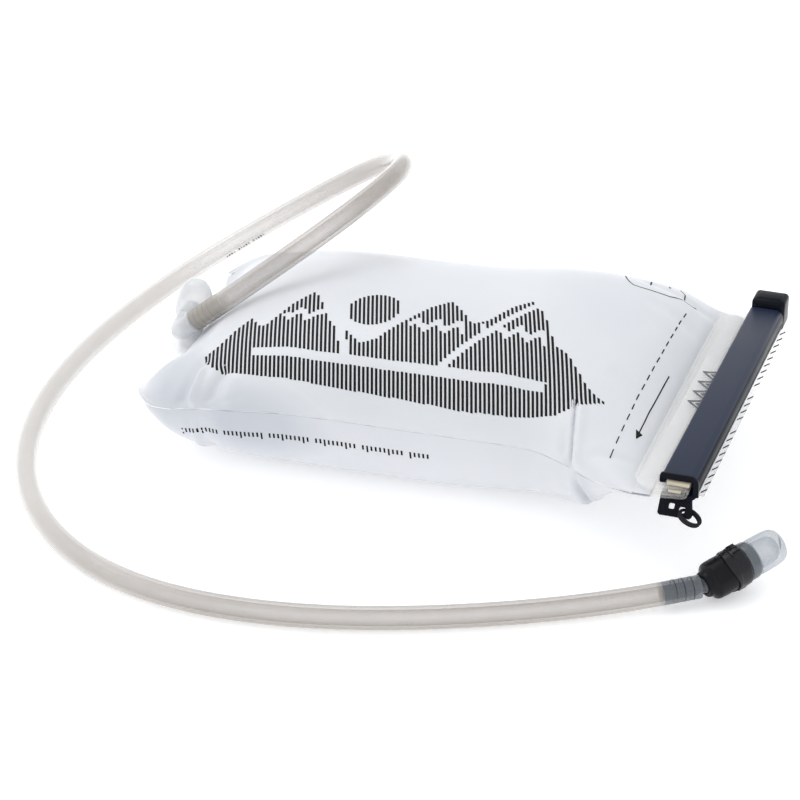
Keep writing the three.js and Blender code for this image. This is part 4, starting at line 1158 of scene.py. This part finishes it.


# thin black rings on the edges of the stem's barbs inside the hose: painted shade along each barb edge
for s_ in (3.75, 7.4, 11.0):
    c = [(3.16 + 0.10 * math.cos(q), s_ + 0.16 * math.sin(q)) for q in a]
    rounded_lathe("barb_edge_%d" % int(s_ * 10), c, HE, -HO, MAT_RUBBER, "reservoir", closed=True, r=0.01, n=48)


def wave(phi):
    return 1.25 * math.sin(2 * phi + 0.5)


HOUSING = [(3.7, 0.4), (5.0, 0.4), (5.35, 0.9), (5.5, 1.8), (5.75, 2.5), (6.5, 3.1), (7.35, 3.6), (7.75, 4.3), (7.85, 5.2), (7.95, 8), (7.9, 10.5), (7.9, 11.0), (7.9, 12.2), (7.55, 12.7), (6.3, 12.7), (6.3, 11.0), (6.3, 4.2), (3.7, 3.9)]
rounded_lathe("valve_housing_body", HOUSING, VP, VD, MAT_VALVE_BLACK, "reservoir", ["valve_housing"], closed=True, r=0.3, n=96)


def ring_r(phi, r, s):
    if s < 12.6 and r > 7.9:
        s = s + wave(phi)
    # thumb lobes on two sides
    if r > 8.1 and s > 13.9:
        d = abs((phi - math.pi / 2 + math.pi) % math.pi - 0)
        d = min(d, math.pi - d)
        k_ = max(0.0, 1 - (d / 0.52) ** 4)
        flat = max(0.0, 1 - abs(s - 16.4) / 3.2) ** 0.35
        r = r + 1.45 * k_ * flat
    elif r > 8.1:
        d = abs((phi - math.pi / 2 + math.pi) % math.pi)
        d = min(d, math.pi - d)
        r = r + 0.5 * max(0.0, 1 - (d / 0.52) ** 4)
    return r, s


RING = [(4.8, 6.6), (6.0, 6.6), (6.0, 13.05), (8.06, 13.05), (8.06, 11.5), (8.42, 11.5), (8.5, 12.0), (8.5, 13.7), (8.35, 14.1), (8.35, 14.5), (8.35, 15.6), (8.4, 16.6), (8.4, 17.6), (8.35, 18.6), (8.0, 19.2), (4.8, 19.2)]
rounded_lathe("shutoff_ring_body", RING, VP, VD, MAT_RING, "shutoff", ["shutoff_ring"], closed=True, r=0.25, n=144, radius=ring_r)
# grip ribs on the thumb lobes
for side in (1, -1):
    for q in (-0.24, 0.0, 0.24):
        B = basis(VD)
        ph = side * math.pi / 2 + q
        rad = B[0] * math.cos(ph) + B[1] * math.sin(ph)
        c0 = VP + VD * 14.7 + rad * 9.72
        c1 = VP + VD * 18.2 + rad * 9.72
        V, F = tube(np.array([c0 + (c1 - c0) * t for t in np.linspace(0, 1, 6)]), 0.28, 10)
        fix_normals(make("shutoff_grip_%s%d" % ("a" if side > 0 else "b", int(q * 100) + 50), V, F, MAT_VALVE_BLACK, "shutoff"))

CORE = [(0, 6.0), (3.3, 6.0), (3.6, 6.8), (3.6, 8.2), (2.9, 8.2), (2.9, 9.9), (3.6, 9.9), (3.6, 14.6), (2.9, 14.6), (2.9, 16.3), (3.6, 16.3), (3.6, 18.4), (2.4, 20.6), (2.4, 22.0), (0, 22.0)]
rounded_lathe("shutoff_core_plug", CORE, VP, VD, MAT_SMOKE, "shutoff", ["shutoff_core"], r=0.15)
for nm, s_ in (("rear", 9.05), ("front", 15.45)):
    rounded_lathe("core_seal_" + nm, [(3.85 + 0.6 * math.cos(q), s_ + 0.6 * math.sin(q)) for q in a], VP, VD, MAT_RUBBER, "shutoff", ["core_oring_" + nm], closed=True, r=0.01, n=48)
COLLAR = [(4.8, 19.5), (7.3, 19.5), (7.75, 19.9), (7.85, 20.6), (7.85, 22.6), (7.7, 23.5), (7.3, 24.1), (4.8, 24.1)]
rounded_lathe("valve_collar_ring", COLLAR, VP, VD, MAT_COLLAR, "shutoff", ["valve_collar"], closed=True, r=0.25)
TIP_OUT = [(4.9, 24.4), (7.0, 24.4), (7.45, 25.0), (7.6, 26.5), (7.6, 28), (7.55, 31), (7.45, 33.5), (7.1, 35.7), (6.3, 37.2), (5.0, 38.0), (2.5, 38.4), (0, 38.5)]
TIP_IN = [(0, 36.3), (2.2, 36.2), (4.2, 35.2), (5.3, 33.2), (5.7, 30), (5.6, 26), (4.9, 24.4)]
V, F = lathe(bevel_profile(TIP_OUT + TIP_IN, 0.3, 3), VP, VD, 72)
fix_normals(make("bite_tip_silicone", V, F, MAT_TIP, "shutoff", ["bite_tip"], angle=50))
# the bite slit: a slightly sunk line across the tip, dark as painted shade in the cut
B = basis(VD)
slit_dir = B[1]
sv, sf = tube(np.array([VP + VD * (38.42 - 0.010 * t * t) + slit_dir * t for t in np.linspace(-3.6, 3.6, 12)]), [0.10, 0.20, 0.28, 0.32, 0.34, 0.35, 0.35, 0.34, 0.32, 0.28, 0.20, 0.10], 10)
fix_normals(make("bite_slit_line", sv, sf, MAT_SLIT, "shutoff"))

# --------------------------------------------------------------------------
# Floor, light
# --------------------------------------------------------------------------
floor_me = bpy.data.meshes.new("floor")
s = 6.0
floor_me.from_pydata([(-s, -s, -0.0004), (s, -s, -0.0004), (s, s, -0.0004), (-s, s, -0.0004)], [], [(0, 1, 2, 3)])
fm, fnt, fp = material("floor_white")
fvec = coords(fnt)
fnt.links.new(mixed(fnt, noise(fnt, fvec, 3.0), (0.93, 0.93, 0.93), (0.95, 0.95, 0.95)), fp.inputs["Base Color"])
fp.inputs["Roughness"].default_value = 0.9
fp.inputs["Specular IOR Level"].default_value = 0.1
fp.inputs["Emission Color"].default_value = (1.0, 1.0, 1.0, 1)
fp.inputs["Emission Strength"].default_value = 0.32
floor_me.materials.append(fm)
floor = bpy.data.objects.new("floor", floor_me)
bpy.context.scene.collection.objects.link(floor)

world = bpy.data.worlds.new("studio")
bpy.context.scene.world = world
world.use_nodes = True
bg = next(n for n in world.node_tree.nodes if n.type == "BACKGROUND")
bg.inputs["Color"].default_value = (0.96, 0.98, 1.0, 1)
bg.inputs["Strength"].default_value = 1.0


def area(name, loc, target, size, power, color=(1, 1, 1), size_y=None):
    d = bpy.data.lights.new(name, "AREA")
    d.energy = power
    d.color = color
    d.size = size
    if size_y:
        d.shape = "RECTANGLE"
        d.size_y = size_y
    o = bpy.data.objects.new(name, d)
    bpy.context.scene.collection.objects.link(o)
    o.location = loc
    o.rotation_mode = "QUATERNION"
    o.rotation_quaternion = (Vector(target) - Vector(loc)).to_track_quat("-Z", "Y")
    return o


area("key", (-0.55, 0.15, 1.25), (0, 0, 0.03), 1.0, 5.0, (1.0, 0.99, 0.98))
area("front", (0.9, -1.1, 0.75), (0, 0, 0.03), 1.0, 1.2, (0.98, 0.99, 1.0))
bpy.context.scene.view_settings.view_transform = "Standard"
bpy.context.scene.view_settings.look = "None"
bpy.context.scene.view_settings.exposure = 0.0
bpy.context.scene.view_settings.gamma = 1.0
bpy.context.scene.cycles.max_bounces = 16
bpy.context.scene.cycles.transparent_max_bounces = 24

# The film panels: what each was cut to, taken from its own surface
def flat_of(G):
    across = np.linalg.norm(np.diff(G, axis=1), axis=2).sum(1)
    along = np.linalg.norm(np.diff(G, axis=0), axis=2).sum(0)
    e1, e2 = G[1:, :-1] - G[:-1, :-1], G[:-1, 1:] - G[:-1, :-1]
    area_ = np.linalg.norm(np.cross(e1, e2), axis=2).sum() / 1e6
    return (float(across.max()) / 1000, float(along.max()) / 1000), float(area_)


for ob_, G_ in ((front_ob, FO), (back_ob, BO)):
    flat_, area_ = flat_of(G_)
    print("FLAT", ob_.name, [round(v, 4) for v in flat_], round(area_, 5))

# a short row of plain dark marks along the hose
bv, bf = [], []
hose_arc_mm = hose_arc
for k, s_ in enumerate(np.arange(291.0, 314.0, 1.45)):
    if k in (5, 11):
        continue
    c = np.array([np.interp(s_, hose_arc_mm, hose_line[:, q]) for q in range(3)])
    t = np.array([np.interp(s_ + 1, hose_arc_mm, hose_line[:, q]) for q in range(3)]) - c
    t /= np.linalg.norm(t)
    n_ = np.array([0.274, -0.794, -0.515])
    n_ = n_ - t * (n_ @ t)
    n_ /= np.linalg.norm(n_)
    w_ = np.cross(t, n_)
    hw, hl = (0.34 if k % 3 else 0.2), (0.62 if k % 4 else 0.45)
    base = len(bv)
    for lift_ in (4.80, 4.62):
        for aa, bb in ((-hw, -hl), (hw, -hl), (hw, hl), (-hw, hl)):
            bv.append(c + t * aa + w_ * bb + n_ * lift_)
    bf += [(base, base + 1, base + 2, base + 3), (base + 7, base + 6, base + 5, base + 4)] + [(base + i, base + 4 + i, base + 4 + (i + 1) % 4, base + (i + 1) % 4) for i in range(4)]
hose_marks = fix_normals(make("print_hose_marks", np.array(bv), bf, MAT_INK, "reservoir", smooth=False))
